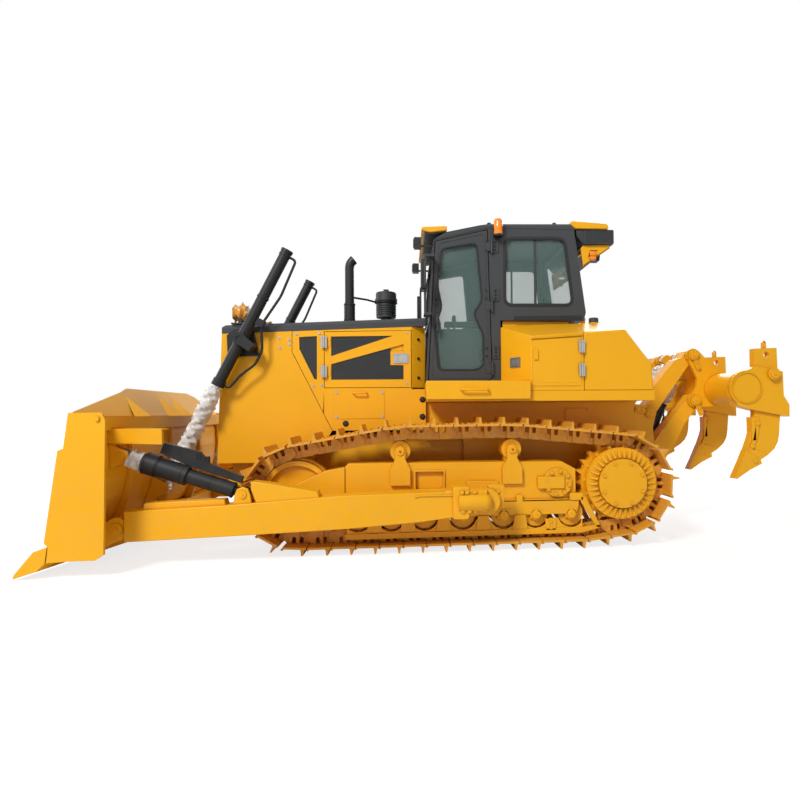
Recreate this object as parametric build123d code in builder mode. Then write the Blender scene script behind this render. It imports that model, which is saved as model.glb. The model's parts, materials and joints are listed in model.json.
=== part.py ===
from build123d import *
from math import acos, asin, atan2, ceil, cos, degrees, hypot, pi, radians, sin, sqrt
import os

# Crawler bulldozer with a semi-U blade and a three-shank parallelogram ripper.
# Millimetres. X forward to the blade, Y to the machine's left, Z up.
# The origin is on the ground, in the plane of symmetry, at half the overall length.

os.makedirs("parts", exist_ok=True)

# ---------------------------------------------------------------- driving sizes
PIN_FIT = 0.08          # radial clearance of a pin in its bore
SEAT = 0.3              # gap between neighbouring pieces that are bolted together

# tracks
GAUGE = 2000            # between the track centre planes
SHOE_W = 560
PITCH = 216
GROUSER_H = 65
SHOE_T = 20
LINK_OUT = 64           # pin line to the underside of the shoe
LINK_IN = 58            # pin line to the rail face that the rollers run on
RAIL_IN = 50            # each rail's inner and outer side, from the track centre plane
RAIL_OUT = 105
PIN_Z = GROUSER_H + SHOE_T + LINK_OUT
RAIL_Z = PIN_Z + LINK_IN

SPROCKET_X, SPROCKET_Z = -1680, 600
SPROCKET_TEETH = 23     # every second tooth gap takes a link pin
SPROCKET_PIN_R = PITCH / (2 * sin(2 * pi / SPROCKET_TEETH))
IDLER_X = 1430
IDLER_R = 320
IDLER_Z = RAIL_Z + IDLER_R + 3
ROLLER_R = 109
ROLLER_X = [857, 545, 232, -130, -522, -838, -1183]
CARRIER_R = 96
CARRIERS = [(460, 931), (-611, 939)]

# blade, push arms and lift cylinders
BLADE_W = 3724          # over the end plates
BLADE_SWEEP = 150       # how far the wing ends stand forward of the middle
WING_Y = 1000           # half width of the straight middle section
TRUNNION_X, TRUNNION_Z = -322, 496
ARM_IN, ARM_OUT = 1345, 1540
ARM_PIN_X, ARM_PIN_Z = 2854, 322
LIFT_Y = 735
YOKE_X, YOKE_Z = 2033, 2037
LIFT_EYE_X, LIFT_EYE_Z = 2765, 580
BRACE_PIN_X, BRACE_PIN_Z = 1819, 599
BRACE_EYE_X, BRACE_EYE_Z = 2829, 939

# body
HOOD_HALF = 620
CAB_HALF = 730
FENDER_OUT = 1150
WALL = 20

# ripper linkage: A, B on the beam, C, D, E on the rear bracket
RIP_A = (-2731, 1905)
RIP_B = (-2751, 1407)
RIP_C = (-2236, 1279)
RIP_D = (RIP_B[0] - RIP_A[0] + RIP_C[0], RIP_B[1] - RIP_A[1] + RIP_C[1])
RIP_E = (-2230, 655)
LINK_Y = (300, 500)     # inner and outer side of each ripper link
RIP_CYL_Y = 180
SHANK_Y = 1000
SHANK_T = 80


# ---------------------------------------------------------------- shape helpers
def slab(points, y_low, y_high, mode=Mode.ADD):
    """A plate or block whose (x, z) side outline runs from y_low to y_high."""
    with BuildSketch(Plane.XZ.offset(-y_high)) as outline:
        with BuildLine():
            Polyline(*points, close=True)
        make_face()
    extrude(outline.sketch, amount=y_high - y_low, mode=mode)


def drum(x, z, radius, y_low, y_high, mode=Mode.ADD):
    """A round piece on an axis across the machine."""
    with BuildSketch(Plane.XZ.offset(-y_high)) as outline:
        with Locations((x, z)):
            Circle(radius)
    extrude(outline.sketch, amount=y_high - y_low, mode=mode)


def block(x_low, x_high, y_low, y_high, z_low, z_high, mode=Mode.ADD):
    """A plain block between its six sides."""
    slab([(x_low, z_low), (x_high, z_low), (x_high, z_high), (x_low, z_high)],
         y_low, y_high, mode)


def rod_between(start, end, radius, y, mode=Mode.ADD):
    """A round bar in the plane y, from one (x, z) point to another."""
    along = Vector(end[0] - start[0], 0, end[1] - start[1])
    base = Plane(origin=(start[0], y, start[1]), x_dir=(0, 1, 0), z_dir=along)
    with BuildSketch(base) as section:
        Circle(radius)
    extrude(section.sketch, amount=along.length, mode=mode)


def toward(start, end, distance):
    """The (x, z) point at a distance from start on the way to end."""
    length = hypot(end[0] - start[0], end[1] - start[1])
    share = distance / length
    return (start[0] + share * (end[0] - start[0]), start[1] + share * (end[1] - start[1]))


def strap(start, end, r_start, r_end):
    """Side outline of a bar that tapers between two points, as four corners."""
    length = hypot(end[0] - start[0], end[1] - start[1])
    nx = -(end[1] - start[1]) / length
    nz = (end[0] - start[0]) / length
    return [(start[0] + nx * r_start, start[1] + nz * r_start),
            (end[0] + nx * r_end, end[1] + nz * r_end),
            (end[0] - nx * r_end, end[1] - nz * r_end),
            (start[0] - nx * r_start, start[1] - nz * r_start)]


def plate(points, thickness):
    """A flat plate from its corners in space, thickened to one side."""
    return extrude(Face(Wire.make_polygon([Vector(*p) for p in points], close=True)), amount=thickness)


def save(piece, name):
    """Label a finished piece and write it to its file."""
    piece.label = name
    export_step(piece, f"parts/{name}.step")


SIDES = (("left", 1), ("right", -1))


def handed(piece, name):
    """Write the left piece and its mirror image on the right."""
    save(piece, f"{name}_left")
    save(mirror(piece, about=Plane.XZ), f"{name}_right")


def both(piece, name):
    """Save a piece of the left side and its mirrored twin under one name."""
    save(piece + mirror(piece, about=Plane.XZ), name)


HINGE_WALL = 5
HINGE_PLAY = 1          # end play between a hinge's knuckles


def upright(x, y, radius, z_low, z_high, mode=Mode.ADD):
    """A round piece on a vertical axis."""
    with BuildSketch(Plane.XY.offset(z_low)) as outline:
        with Locations((x, y)):
            Circle(radius)
    extrude(outline.sketch, amount=z_high - z_low, mode=mode)


def door_knuckles(x, y, radius, levels, height, leaf_end, face, leaf_t):
    """The door's half of its hinges: bored knuckles with a leaf on the door's outer face."""
    for z in levels:
        upright(x, y, radius, z, z + height)
        block(*sorted((x, leaf_end)), face, face + leaf_t, z, z + height)
        upright(x, y, radius - HINGE_WALL + PIN_FIT, z, z + height, Mode.SUBTRACT)


def frame_knuckles(x, y, radius, levels, height, leaf_end, face, leaf_t):
    """The fixed half of the hinges on both sides: pins, end knuckles and leaves."""
    end = height / 4
    for side in (-1, 1):
        low, high = sorted((side * face, side * (face + leaf_t)))
        for z in levels:
            upright(x, side * y, radius - HINGE_WALL, z - end, z + height + end)
            for z_low in (z - end, z + height + HINGE_PLAY):
                upright(x, side * y, radius, z_low, z_low + end - HINGE_PLAY)
                block(*sorted((x, leaf_end)), low, high, z_low, z_low + end - HINGE_PLAY)


# ---------------------------------------------------------------- tracks
# The pin line wraps five rounds, each (x, z, radius), in order from the rear corner.
SAG = 10                # the chain cuts each small corner by up to this much
ROUNDS = [
    (-1290, RAIL_Z + ROLLER_R, ROLLER_R + LINK_IN),
    (IDLER_X, IDLER_Z, hypot(IDLER_R + LINK_IN + SEAT, PITCH / 2)),
    (CARRIERS[0][0], CARRIERS[0][1], CARRIER_R + LINK_IN + SAG),
    (CARRIERS[1][0], CARRIERS[1][1], CARRIER_R + LINK_IN + SAG),
    (SPROCKET_X, SPROCKET_Z, SPROCKET_PIN_R),
]


def belt_pieces(rounds):
    """The straight runs and arcs of a belt round the given circles."""
    normals = []
    for (x0, z0, r0), (x1, z1, r1) in zip(rounds, rounds[1:] + rounds[:1]):
        span = hypot(x1 - x0, z1 - z0)
        heading = atan2(z1 - z0, x1 - x0)
        normals.append(heading - acos((r0 - r1) / span))
    pieces = []
    for i, (x0, z0, r0) in enumerate(rounds):
        x1, z1, r1 = rounds[(i + 1) % len(rounds)]
        turn = (normals[i] - normals[i - 1]) % (2 * pi)
        pieces.append(("arc", x0, z0, r0, normals[i - 1], turn * r0))
        a = (x0 + r0 * cos(normals[i]), z0 + r0 * sin(normals[i]))
        b = (x1 + r1 * cos(normals[i]), z1 + r1 * sin(normals[i]))
        pieces.append(("run", a, b, hypot(b[0] - a[0], b[1] - a[1])))
    return pieces


def belt_point(pieces, distance):
    """The (x, z) point at a distance along the belt."""
    for piece in pieces:
        if distance <= piece[-1]:
            break
        distance -= piece[-1]
    if piece[0] == "arc":
        _, x, z, r, start, _ = piece
        angle = start + distance / r
        return (x + r * cos(angle), z + r * sin(angle))
    return toward(piece[1], piece[2], distance)


belt = belt_pieces(ROUNDS)
BELT_LENGTH = sum(piece[-1] for piece in belt)
SHOES = round(BELT_LENGTH / PITCH)
pins = [belt_point(belt, BELT_LENGTH * i / SHOES) for i in range(SHOES)]


def outward(p, q):
    """Unit normal that points out of the loop between two pins."""
    length = hypot(q[0] - p[0], q[1] - p[1])
    return ((q[1] - p[1]) / length, -(q[0] - p[0]) / length)


def ring(points, out):
    """The loop of pins moved outwards, corner by corner."""
    moved = []
    for i, p in enumerate(points):
        n0 = outward(points[i - 1], p)
        n1 = outward(p, points[(i + 1) % len(points)])
        k = out / (1 + n0[0] * n1[0] + n0[1] * n1[1])
        moved.append((p[0] + k * (n0[0] + n1[0]), p[1] + k * (n0[1] + n1[1])))
    return moved


# shoe section: (along the track, out from the pin line)
SHOE_GAP = 4
HALF_SHOE = (PITCH - SHOE_GAP) / 2
TOP = LINK_OUT + SHOE_T
SHOE_SECTION = [(-HALF_SHOE, LINK_OUT), (HALF_SHOE, LINK_OUT), (HALF_SHOE, TOP),
                (-56, TOP), (-66, TOP + GROUSER_H), (-80, TOP + GROUSER_H),
                (-92, TOP), (-HALF_SHOE, TOP)]

track_y = GAUGE / 2
with BuildPart() as track:
    with BuildSketch(Plane.XZ.offset(-(track_y + SHOE_W / 2))) as shoes:
        for i, p in enumerate(pins):
            q = pins[(i + 1) % SHOES]
            n = outward(p, q)
            middle = ((p[0] + q[0]) / 2, (p[1] + q[1]) / 2)
            with BuildLine():
                Polyline(*[(middle[0] - u * n[1] + v * n[0], middle[1] + u * n[0] + v * n[1])
                           for u, v in SHOE_SECTION], close=True)
            make_face()
    extrude(amount=SHOE_W)
    for low in (RAIL_IN, -RAIL_OUT):
        slab(ring(pins, LINK_OUT), track_y + low, track_y + low + RAIL_OUT - RAIL_IN)
    for low in (RAIL_IN, -RAIL_OUT):
        slab(ring(pins, -LINK_IN), track_y + low, track_y + low + RAIL_OUT - RAIL_IN, Mode.SUBTRACT)
handed(track.part, "track")

# ---------------------------------------------------------------- sprocket, idler, rollers
TOOTH_HALF = RAIL_IN - 6
TOOTH_TIP_R = SPROCKET_PIN_R + 12
TOOTH_ROOT_R = SPROCKET_PIN_R - 34
with BuildPart() as sprocket:
    with BuildSketch(Plane.XZ.offset(-(track_y + TOOTH_HALF))) as teeth:
        with Locations((SPROCKET_X, SPROCKET_Z)):
            Circle(TOOTH_ROOT_R)
            with PolarLocations(0, SPROCKET_TEETH):
                with Locations((TOOTH_ROOT_R + 18, 0)):
                    Trapezoid(62, 56, 68, rotation=-90)
    extrude(amount=2 * TOOTH_HALF)
both(sprocket.part, "sprockets")

HUB_R = 345
COVER_R = 235
HUB_FACE = 1185
with BuildPart() as final_drive:
    drum(SPROCKET_X, SPROCKET_Z, 270, 640, track_y - TOOTH_HALF - SEAT)
    drum(SPROCKET_X, SPROCKET_Z, 325, track_y + TOOTH_HALF + SEAT, 1130)
    drum(SPROCKET_X, SPROCKET_Z, HUB_R, 1130, HUB_FACE)
    drum(SPROCKET_X, SPROCKET_Z, COVER_R, HUB_FACE, HUB_FACE + 45)
both(final_drive.part, "final_drives")

IDLER_SHAFT_R = 46
with BuildPart() as idler:
    drum(IDLER_X, IDLER_Z, IDLER_R, track_y - RAIL_OUT, track_y + RAIL_OUT)
    drum(IDLER_X, IDLER_Z, IDLER_R + 24, track_y - TOOTH_HALF, track_y + TOOTH_HALF)
    for low, high in ((track_y - RAIL_OUT, track_y - 60), (track_y + 60, track_y + RAIL_OUT)):
        drum(IDLER_X, IDLER_Z, IDLER_R - 45, low, high, Mode.SUBTRACT)
    drum(IDLER_X, IDLER_Z, 95, track_y - RAIL_OUT, track_y + RAIL_OUT)
    drum(IDLER_X, IDLER_Z, IDLER_SHAFT_R + SEAT, track_y - RAIL_OUT, track_y + RAIL_OUT, Mode.SUBTRACT)
both(idler.part, "idlers")

ROLLER_Z = RAIL_Z + ROLLER_R
FRAME_BOTTOM = 440
FRAME_HALF = 130
with BuildPart() as rollers:
    for x in ROLLER_X:
        drum(x, ROLLER_Z, ROLLER_R - SEAT, track_y - 112, track_y + 112)
        for side in (-1, 1):
            low, high = sorted((track_y + side * 110, track_y + side * 122))
            drum(x, ROLLER_Z, ROLLER_R + 12, low, high)
            low, high = sorted((track_y + side * 120, track_y + side * 150))
            block(x - 60, x + 60, low, high, ROLLER_Z - 45, FRAME_BOTTOM - SEAT)

FRAME_TOP = 820
with BuildPart() as carriers:
    for x, z in CARRIERS:
        drum(x, z, CARRIER_R, track_y - 108, track_y + 108)
        drum(x, z, 48, track_y + 108, track_y + 165)
        slab([(x - 95, FRAME_TOP - 210), (x + 95, FRAME_TOP - 210), (x + 95, FRAME_TOP - 60),
              (x + 45, FRAME_TOP + 40), (x + 52, z), (x, z + 55), (x - 52, z), (x - 45, FRAME_TOP + 40),
              (x - 95, FRAME_TOP - 60)], track_y + FRAME_HALF + SEAT, track_y + FRAME_HALF + 40)
both(rollers.part + carriers.part, "track_rollers")

# ---------------------------------------------------------------- track frame
FRAME_REAR = SPROCKET_X + TOOTH_TIP_R + 30
with BuildPart() as track_frame:
    slab([(FRAME_REAR, 500), (-1120, FRAME_BOTTOM), (1040, FRAME_BOTTOM), (1060, 700), (950, FRAME_TOP),
          (-1100, FRAME_TOP - 5), (FRAME_REAR, 740)], track_y - FRAME_HALF, track_y + FRAME_HALF)
    for side in (-1, 1):
        low, high = sorted((track_y + side * 116, track_y + side * 146))
        slab([(980, 470), (IDLER_X, IDLER_Z - 90), (IDLER_X + 90, IDLER_Z - 40), (IDLER_X + 90, IDLER_Z + 60),
              (IDLER_X, IDLER_Z + 100), (1150, 760), (980, 790)], low, high)
        drum(IDLER_X, IDLER_Z, IDLER_SHAFT_R, track_y - 146, track_y + 146)
    # roller guards between the shoes and the rollers, on uprights under the frame
    for side in (-1, 1):
        low, high = sorted((track_y + side * 152, track_y + side * 168))
        slab([(-1290, 130), (960, 130), (960, 275), (-1290, 275)], low, high)
        inner, outer = sorted((track_y + side * (FRAME_HALF - 12), track_y + side * 168))
        for x in (700, 50, -680):
            block(x - 30, x + 30, inner, outer, 200, FRAME_BOTTOM + 60)
    # trunnion stub that carries the push arm outside the track
    block(TRUNNION_X - 150, TRUNNION_X + 150, track_y + FRAME_HALF, track_y + FRAME_HALF + 45, FRAME_BOTTOM + 1, 640)
    drum(TRUNNION_X, TRUNNION_Z, 75, track_y + FRAME_HALF + 45, ARM_OUT - 40)
    # pivot shaft cover
    drum(-1056, 612, 140, track_y + FRAME_HALF, track_y + FRAME_HALF + 35)
    block(331 - 284, 331, track_y + FRAME_HALF, track_y + FRAME_HALF + 60, 600, 772)
both(track_frame.part, "track_frames")

# ---------------------------------------------------------------- hull and engine
HULL_HALF = 560
HULL_FLOOR = 430
DECK_Z = 1404           # underside of the fenders
FRAME_FRONT = 2230
GUARD_FOOT = 800        # underside of the radiator guard
with BuildPart() as main_frame:
    # rear case: steering clutches, bevel gear and the faces the ripper bolts to
    slab([(-1990, 560), (-1880, HULL_FLOOR), (-200, HULL_FLOOR), (-200, 1180), (-700, DECK_Z - SEAT),
          (-1990, DECK_Z - SEAT)], -HULL_HALF, HULL_HALF)
    # engine frame rails and belly guard
    for side in (-1, 1):
        low, high = sorted((side * 400, side * 480))
        slab([(-200, 720), (FRAME_FRONT - 45, 720), (FRAME_FRONT - 45, GUARD_FOOT - SEAT),
              (1340, GUARD_FOOT - SEAT), (1340, 1030), (-200, 1150)], low, high)
    slab([(-200, HULL_FLOOR), (1900, HULL_FLOOR), (FRAME_FRONT, 620), (FRAME_FRONT, 735), (1880, 470),
          (-200, 470)], -480, 480)
    for side in (-1, 1):
        low, high = sorted((side * 455, side * 480))
        slab([(-200, 470), (1880, 470), (FRAME_FRONT, 730), (-200, 730)], low, high)
    # equalizer bar that rests on both track frames
    block(560, 760, -HULL_HALF, HULL_HALF, 490, 640)
    for side in (-1, 1):
        low, high = sorted((side * HULL_HALF, side * (track_y - FRAME_HALF - SEAT)))
        block(600, 720, low, high, 520, 620)
        drum(-1056, 612, 110, low, high)
        low, high = sorted((side * HULL_HALF, side * (640 - SEAT)))
        drum(SPROCKET_X, SPROCKET_Z, 300, low, high)
save(main_frame.part, "main_frame")

with BuildPart() as engine:
    block(260, 1340, -330, 330, 760, 1750)
    block(300, 1300, -230, 230, 1750, 2000)
    block(500, 640, -400 + SEAT, 400 - SEAT, 880, 960)
save(engine.part, "engine_block")

# ---------------------------------------------------------------- radiator guard and hood
GUARD_REAR = 1562
HOOD_REAR = 199
HOOD_FRONT = 2255
HOOD_TOP_FRONT, HOOD_TOP_REAR = 2199, 2287
BAND = 92               # height of the dark band along the hood's top


def hood_line(x):
    """Height of the hood's upper edge at x."""
    share = (HOOD_FRONT - x) / (HOOD_FRONT - HOOD_REAR)
    return HOOD_TOP_FRONT + share * (HOOD_TOP_REAR - HOOD_TOP_FRONT)


SEAM_LOW = (1157, 1118)  # slanting seam between the guard and the side panels
SEAM_HIGH = (GUARD_REAR, 1926)


def seam_x(z):
    """Where the slanting seam lies at height z."""
    share = (z - SEAM_LOW[1]) / (SEAM_HIGH[1] - SEAM_LOW[1])
    return SEAM_LOW[0] + share * (SEAM_HIGH[0] - SEAM_LOW[0])


with BuildPart() as radiator_guard:
    side_outline = [SEAM_LOW, (1350, GUARD_FOOT), (2297, GUARD_FOOT), (HOOD_FRONT, 2108),
                    (HOOD_FRONT, hood_line(HOOD_FRONT) - BAND), (GUARD_REAR, hood_line(GUARD_REAR) - BAND),
                    SEAM_HIGH]
    for side in (-1, 1):
        low, high = sorted((side * (HOOD_HALF - WALL), side * HOOD_HALF))
        slab(side_outline, low, high)
    inner = HOOD_HALF - WALL
    block(GUARD_REAR, GUARD_REAR + 40, -inner, inner, 1000, 1980)
    slab([(2235, GUARD_FOOT), (2297, GUARD_FOOT), (2293, 930), (2231, 930)], -inner, inner)
    slab([(2205, 1980), (2258, 1980), (HOOD_FRONT, 2100), (2200, 2100)], -inner, inner)
    for side in (-1, 1):
        low, high = sorted((side * (inner - 70), side * inner))
        slab([(2231, 930), (2293, 930), (2258, 1980), (2205, 1980)], low, high)
    block(1350, 2100, -inner, inner, GUARD_FOOT, GUARD_FOOT + 30)
save(radiator_guard.part, "radiator_guard")

with BuildPart() as radiator:
    block(1720, 1900, -500, 500, 1000, 1960)
    block(1690, 1930, -530, 530, 1960, 2040)
    block(1690, 1930, -530, 530, GUARD_FOOT + 30, 1000)
save(radiator.part, "radiator")

GRILLE_HALF = HOOD_HALF - WALL - 70 - SEAT
with BuildPart() as front_grille:
    slab([(2222, 940), (2250, 940), (2222, 1970), (2194, 1970)], -GRILLE_HALF, GRILLE_HALF)
    for i in range(10):
        z = 990 + i * 98
        block(2150, 2300, -480, 480, z, z + 62, Mode.SUBTRACT)
save(front_grille.part, "front_grille")

EXHAUST_X, EXHAUST_Y = 1010, 250
EXHAUST_SLEEVE = 58
PRECLEANER_AT = (625, -100)
PRECLEANER_STUB = 60
with BuildPart() as hood_top:
    slab([(HOOD_REAR, hood_line(HOOD_REAR) - BAND + 1), (HOOD_FRONT, hood_line(HOOD_FRONT) - BAND + 1),
          (HOOD_FRONT, hood_line(HOOD_FRONT) - 24), (HOOD_FRONT - 30, hood_line(HOOD_FRONT)),
          (HOOD_REAR, hood_line(HOOD_REAR))], -HOOD_HALF, HOOD_HALF)
    chamfer(hood_top.edges().filter_by(lambda e: e.center().Z > HOOD_TOP_FRONT - 10
                                       and abs(abs(e.center().Y) - HOOD_HALF) < 1
                                       and e.length > 1500), 34)
    slab([(HOOD_REAR - 10, hood_line(HOOD_REAR) - BAND - 5), (HOOD_FRONT - 60, hood_line(HOOD_FRONT) - BAND - 5),
          (HOOD_FRONT - 60, hood_line(HOOD_FRONT) - WALL), (HOOD_REAR - 10, hood_line(HOOD_REAR) - WALL)],
         -(HOOD_HALF - WALL), HOOD_HALF - WALL, Mode.SUBTRACT)
    upright(EXHAUST_X, EXHAUST_Y, EXHAUST_SLEEVE + SEAT, 2100, 2400, Mode.SUBTRACT)
    upright(*PRECLEANER_AT, PRECLEANER_STUB + SEAT, 2100, 2400, Mode.SUBTRACT)
save(hood_top.part, "hood_top")

DOOR_FRONT, DOOR_REAR = 1232, 349
DOOR_LOW, DOOR_HIGH = 1560, 2150
PANEL_GAP = 6
ENGINE_HINGE = (DOOR_FRONT + 3, HOOD_HALF + 12)
ENGINE_HINGES = (1680, 1980)
with BuildPart() as hood_sides:
    for side in (-1, 1):
        low, high = sorted((side * (HOOD_HALF - WALL), side * HOOD_HALF))
        # front panel with the louvre, ahead of the door
        panel_x = DOOR_FRONT + PANEL_GAP
        slab([(panel_x, 1300), (seam_x(1300) - PANEL_GAP, 1300), (GUARD_REAR - PANEL_GAP, SEAM_HIGH[1]),
              (GUARD_REAR - PANEL_GAP, hood_line(GUARD_REAR) - BAND - SEAT),
              (panel_x, hood_line(panel_x) - BAND - SEAT)], low, high)
        # post behind the door
        slab([(HOOD_REAR, 1222), (DOOR_REAR - PANEL_GAP, 1222),
              (DOOR_REAR - PANEL_GAP, hood_line(DOOR_REAR) - BAND - SEAT),
              (HOOD_REAR, hood_line(HOOD_REAR) - BAND - SEAT)], low, high)
        # lower panel
        slab([(HOOD_REAR - 23, 1222), (seam_x(1222) - PANEL_GAP, 1222), (seam_x(1300) - PANEL_GAP, 1300),
              (seam_x(1300) - PANEL_GAP, 1310), (panel_x + 10, 1310), (panel_x, DOOR_LOW - PANEL_GAP),
              (HOOD_REAR - 23, DOOR_LOW - PANEL_GAP)], low, high)
        # strip over the door
        slab([(DOOR_REAR - 10, DOOR_HIGH + 4), (DOOR_FRONT + 10, DOOR_HIGH - 14),
              (DOOR_FRONT + 10, hood_line(DOOR_FRONT) - BAND - SEAT),
              (DOOR_REAR - 10, hood_line(DOOR_REAR) - BAND - SEAT)], low, high)
    frame_knuckles(*ENGINE_HINGE, 11, ENGINE_HINGES, 90, DOOR_FRONT + 55, HOOD_HALF - 1, 7)
    # inner cross wall that the rear of the hood stands on
    block(HOOD_REAR, HOOD_REAR + 30, -(HOOD_HALF - WALL), HOOD_HALF - WALL, 1222, 2160)
save(hood_sides.part, "hood_sides")

with BuildPart() as engine_door:
    slab([(DOOR_REAR, DOOR_LOW), (DOOR_FRONT, DOOR_LOW), (DOOR_FRONT, DOOR_HIGH - 20), (DOOR_REAR, DOOR_HIGH)],
         HOOD_HALF - WALL, HOOD_HALF)
    slab([(534, 2095), (1165, 2085), (1165, 1882)], HOOD_HALF - WALL, HOOD_HALF, Mode.SUBTRACT)
    slab([(426, 2008), (1165, 1800), (1165, 1640), (426, 1642)], HOOD_HALF - WALL, HOOD_HALF, Mode.SUBTRACT)
    slab([(520, 2099), (1169, 2089), (1169, 1630), (422, 1632), (422, 2012)],
         HOOD_HALF - WALL - 6, HOOD_HALF - WALL)
    door_knuckles(*ENGINE_HINGE, 11, ENGINE_HINGES, 90, DOOR_FRONT - 60, HOOD_HALF, 6)
handed(engine_door.part, "engine_door")

with BuildPart() as exhaust:
    with BuildLine(Plane.XZ.offset(-EXHAUST_Y)) as pipe_line:
        stack = Line((EXHAUST_X, 2330), (EXHAUST_X, 2895))
        JernArc(stack @ 1, stack % 1, 110, -58)
    with BuildSketch(Plane.XY.offset(2330)) as pipe_section:
        with Locations((EXHAUST_X, EXHAUST_Y)):
            Circle(38)
            Circle(33, mode=Mode.SUBTRACT)
    sweep(pipe_section.sketch, path=pipe_line.wire())
    upright(EXHAUST_X, EXHAUST_Y, EXHAUST_SLEEVE, 2220, 2490)
    upright(EXHAUST_X, EXHAUST_Y, 90, 2258, 2276)
save(exhaust.part, "exhaust_pipe")

with BuildPart() as precleaner:
    for z, height, radius in ((2274, 24, 88), (2235, 156, PRECLEANER_STUB), (2390, 190, 112), (2580, 25, 128), (2605, 60, 118),
                              (2665, 12, 90)):
        with BuildSketch(Plane.XY.offset(z)) as section:
            with Locations(PRECLEANER_AT):
                Circle(radius)
        extrude(section.sketch, amount=height)
save(precleaner.part, "air_precleaner")

# ---------------------------------------------------------------- blade
BLADE_T = 40            # moldboard plate
END_T = 30
BLADE_END_Y = BLADE_W / 2
SWEEP_RATE = BLADE_SWEEP / (BLADE_END_Y - WING_Y)


def swept(x, y):
    """A blade point's x after the wings' forward sweep."""
    return x + max(0, abs(y) - WING_Y) * SWEEP_RATE


def wing_run(points, y_low, y_high, mode=Mode.ADD):
    """Run an (x, z) section across the blade, along the middle or along one wing."""
    middle_low, middle_high = max(y_low, -WING_Y), min(y_high, WING_Y)
    if middle_high > middle_low:
        slab(points, middle_low, middle_high, mode)
    for side in (-1, 1):
        start = max(WING_Y, y_low if side > 0 else -y_high)
        end = y_high if side > 0 else -y_low
        if end > start:
            with BuildSketch(Plane.XZ.offset(-side * start)) as section:
                with BuildLine():
                    Polyline(*[(swept(x, start), z) for x, z in points], close=True)
                make_face()
            run = Vector(SWEEP_RATE * (end - start), side * (end - start), 0)
            extrude(section.sketch, amount=run.length, dir=run.normalized(), mode=mode)


FACE_LOW = (3080, 262)      # moldboard face, lower end, deepest point and upper end
FACE_DEEP = (2885, 760)
FACE_HIGH = (2923, 1290)
FACE_STEPS = 6


def face_point(share):
    """A point on the moldboard's curved face, on the curve through its three points."""
    a = (1 - share) * (1 - 2 * share)
    b = 4 * share * (1 - share)
    c = share * (2 * share - 1)
    return tuple(a * p + b * q + c * r for p, q, r in zip(FACE_LOW, FACE_DEEP, FACE_HIGH))


face = [face_point(i / FACE_STEPS) for i in range(FACE_STEPS + 1)]
back = [(x - BLADE_T, z - 8) for x, z in face]
inside = BLADE_END_Y - END_T
BEAM_BACK = 2900
EDGE_HEEL = 3076        # where the cutting edge meets the lower box beam
BLADE_TOP = 1282
GUARD_TOP, GUARD_END = 1550, 1322   # spill guard heights in the middle and at its ends
GUARD_LEAN = 0.772                  # forward lean for each unit of height
GUARD_FLAT = 812                    # half width of its level top
GUARD_STOP = inside - 17            # half width of the spill guard
GUARD_T = 20
ARM_MID = (ARM_IN + ARM_OUT) / 2
TONGUE = 50
ARM_END_X = 2790
LUG_T = 35


def guard_height(y):
    """Top of the spill guard at a distance y from the middle."""
    slope = (GUARD_TOP - GUARD_END) / (GUARD_STOP - GUARD_FLAT)
    return GUARD_TOP - max(0, y - GUARD_FLAT) * slope


def guard_corner(y, z):
    """A point on the back of the spill guard."""
    base = swept(2888, y)
    return (base + (z - BLADE_TOP) * GUARD_LEAN, y, z)


def pyramid(y):
    """The folded gusset behind the spill guard, as a solid with four faces."""
    near = Vector(swept(2886, y), y + 150, BLADE_TOP - 2)
    far = Vector(swept(2886, y), y - 150, BLADE_TOP - 2)
    foot = Vector(swept(2802, y), y, BLADE_TOP - 2)
    tip = Vector(*guard_corner(y, guard_height(abs(y)) - 30)) + Vector(4, 0, 0)
    sides = ((near, far, tip), (near, foot, tip), (foot, far, tip), (near, far, foot))
    return Solid(Shell([Face(Wire.make_polygon(side, close=True)) for side in sides]))


guard_mid = plate([guard_corner(GUARD_FLAT, GUARD_TOP), guard_corner(-GUARD_FLAT, GUARD_TOP),
                   guard_corner(-WING_Y, guard_height(WING_Y)), guard_corner(-WING_Y, BLADE_TOP - 2),
                   guard_corner(WING_Y, BLADE_TOP - 2), guard_corner(WING_Y, guard_height(WING_Y))], GUARD_T)
guard_wing = plate([guard_corner(WING_Y, BLADE_TOP - 2), guard_corner(GUARD_STOP, BLADE_TOP - 2),
                    guard_corner(GUARD_STOP, GUARD_END), guard_corner(WING_Y, guard_height(WING_Y))], GUARD_T)
GUSSETS = (-960, -165, 165, 960)

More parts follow.
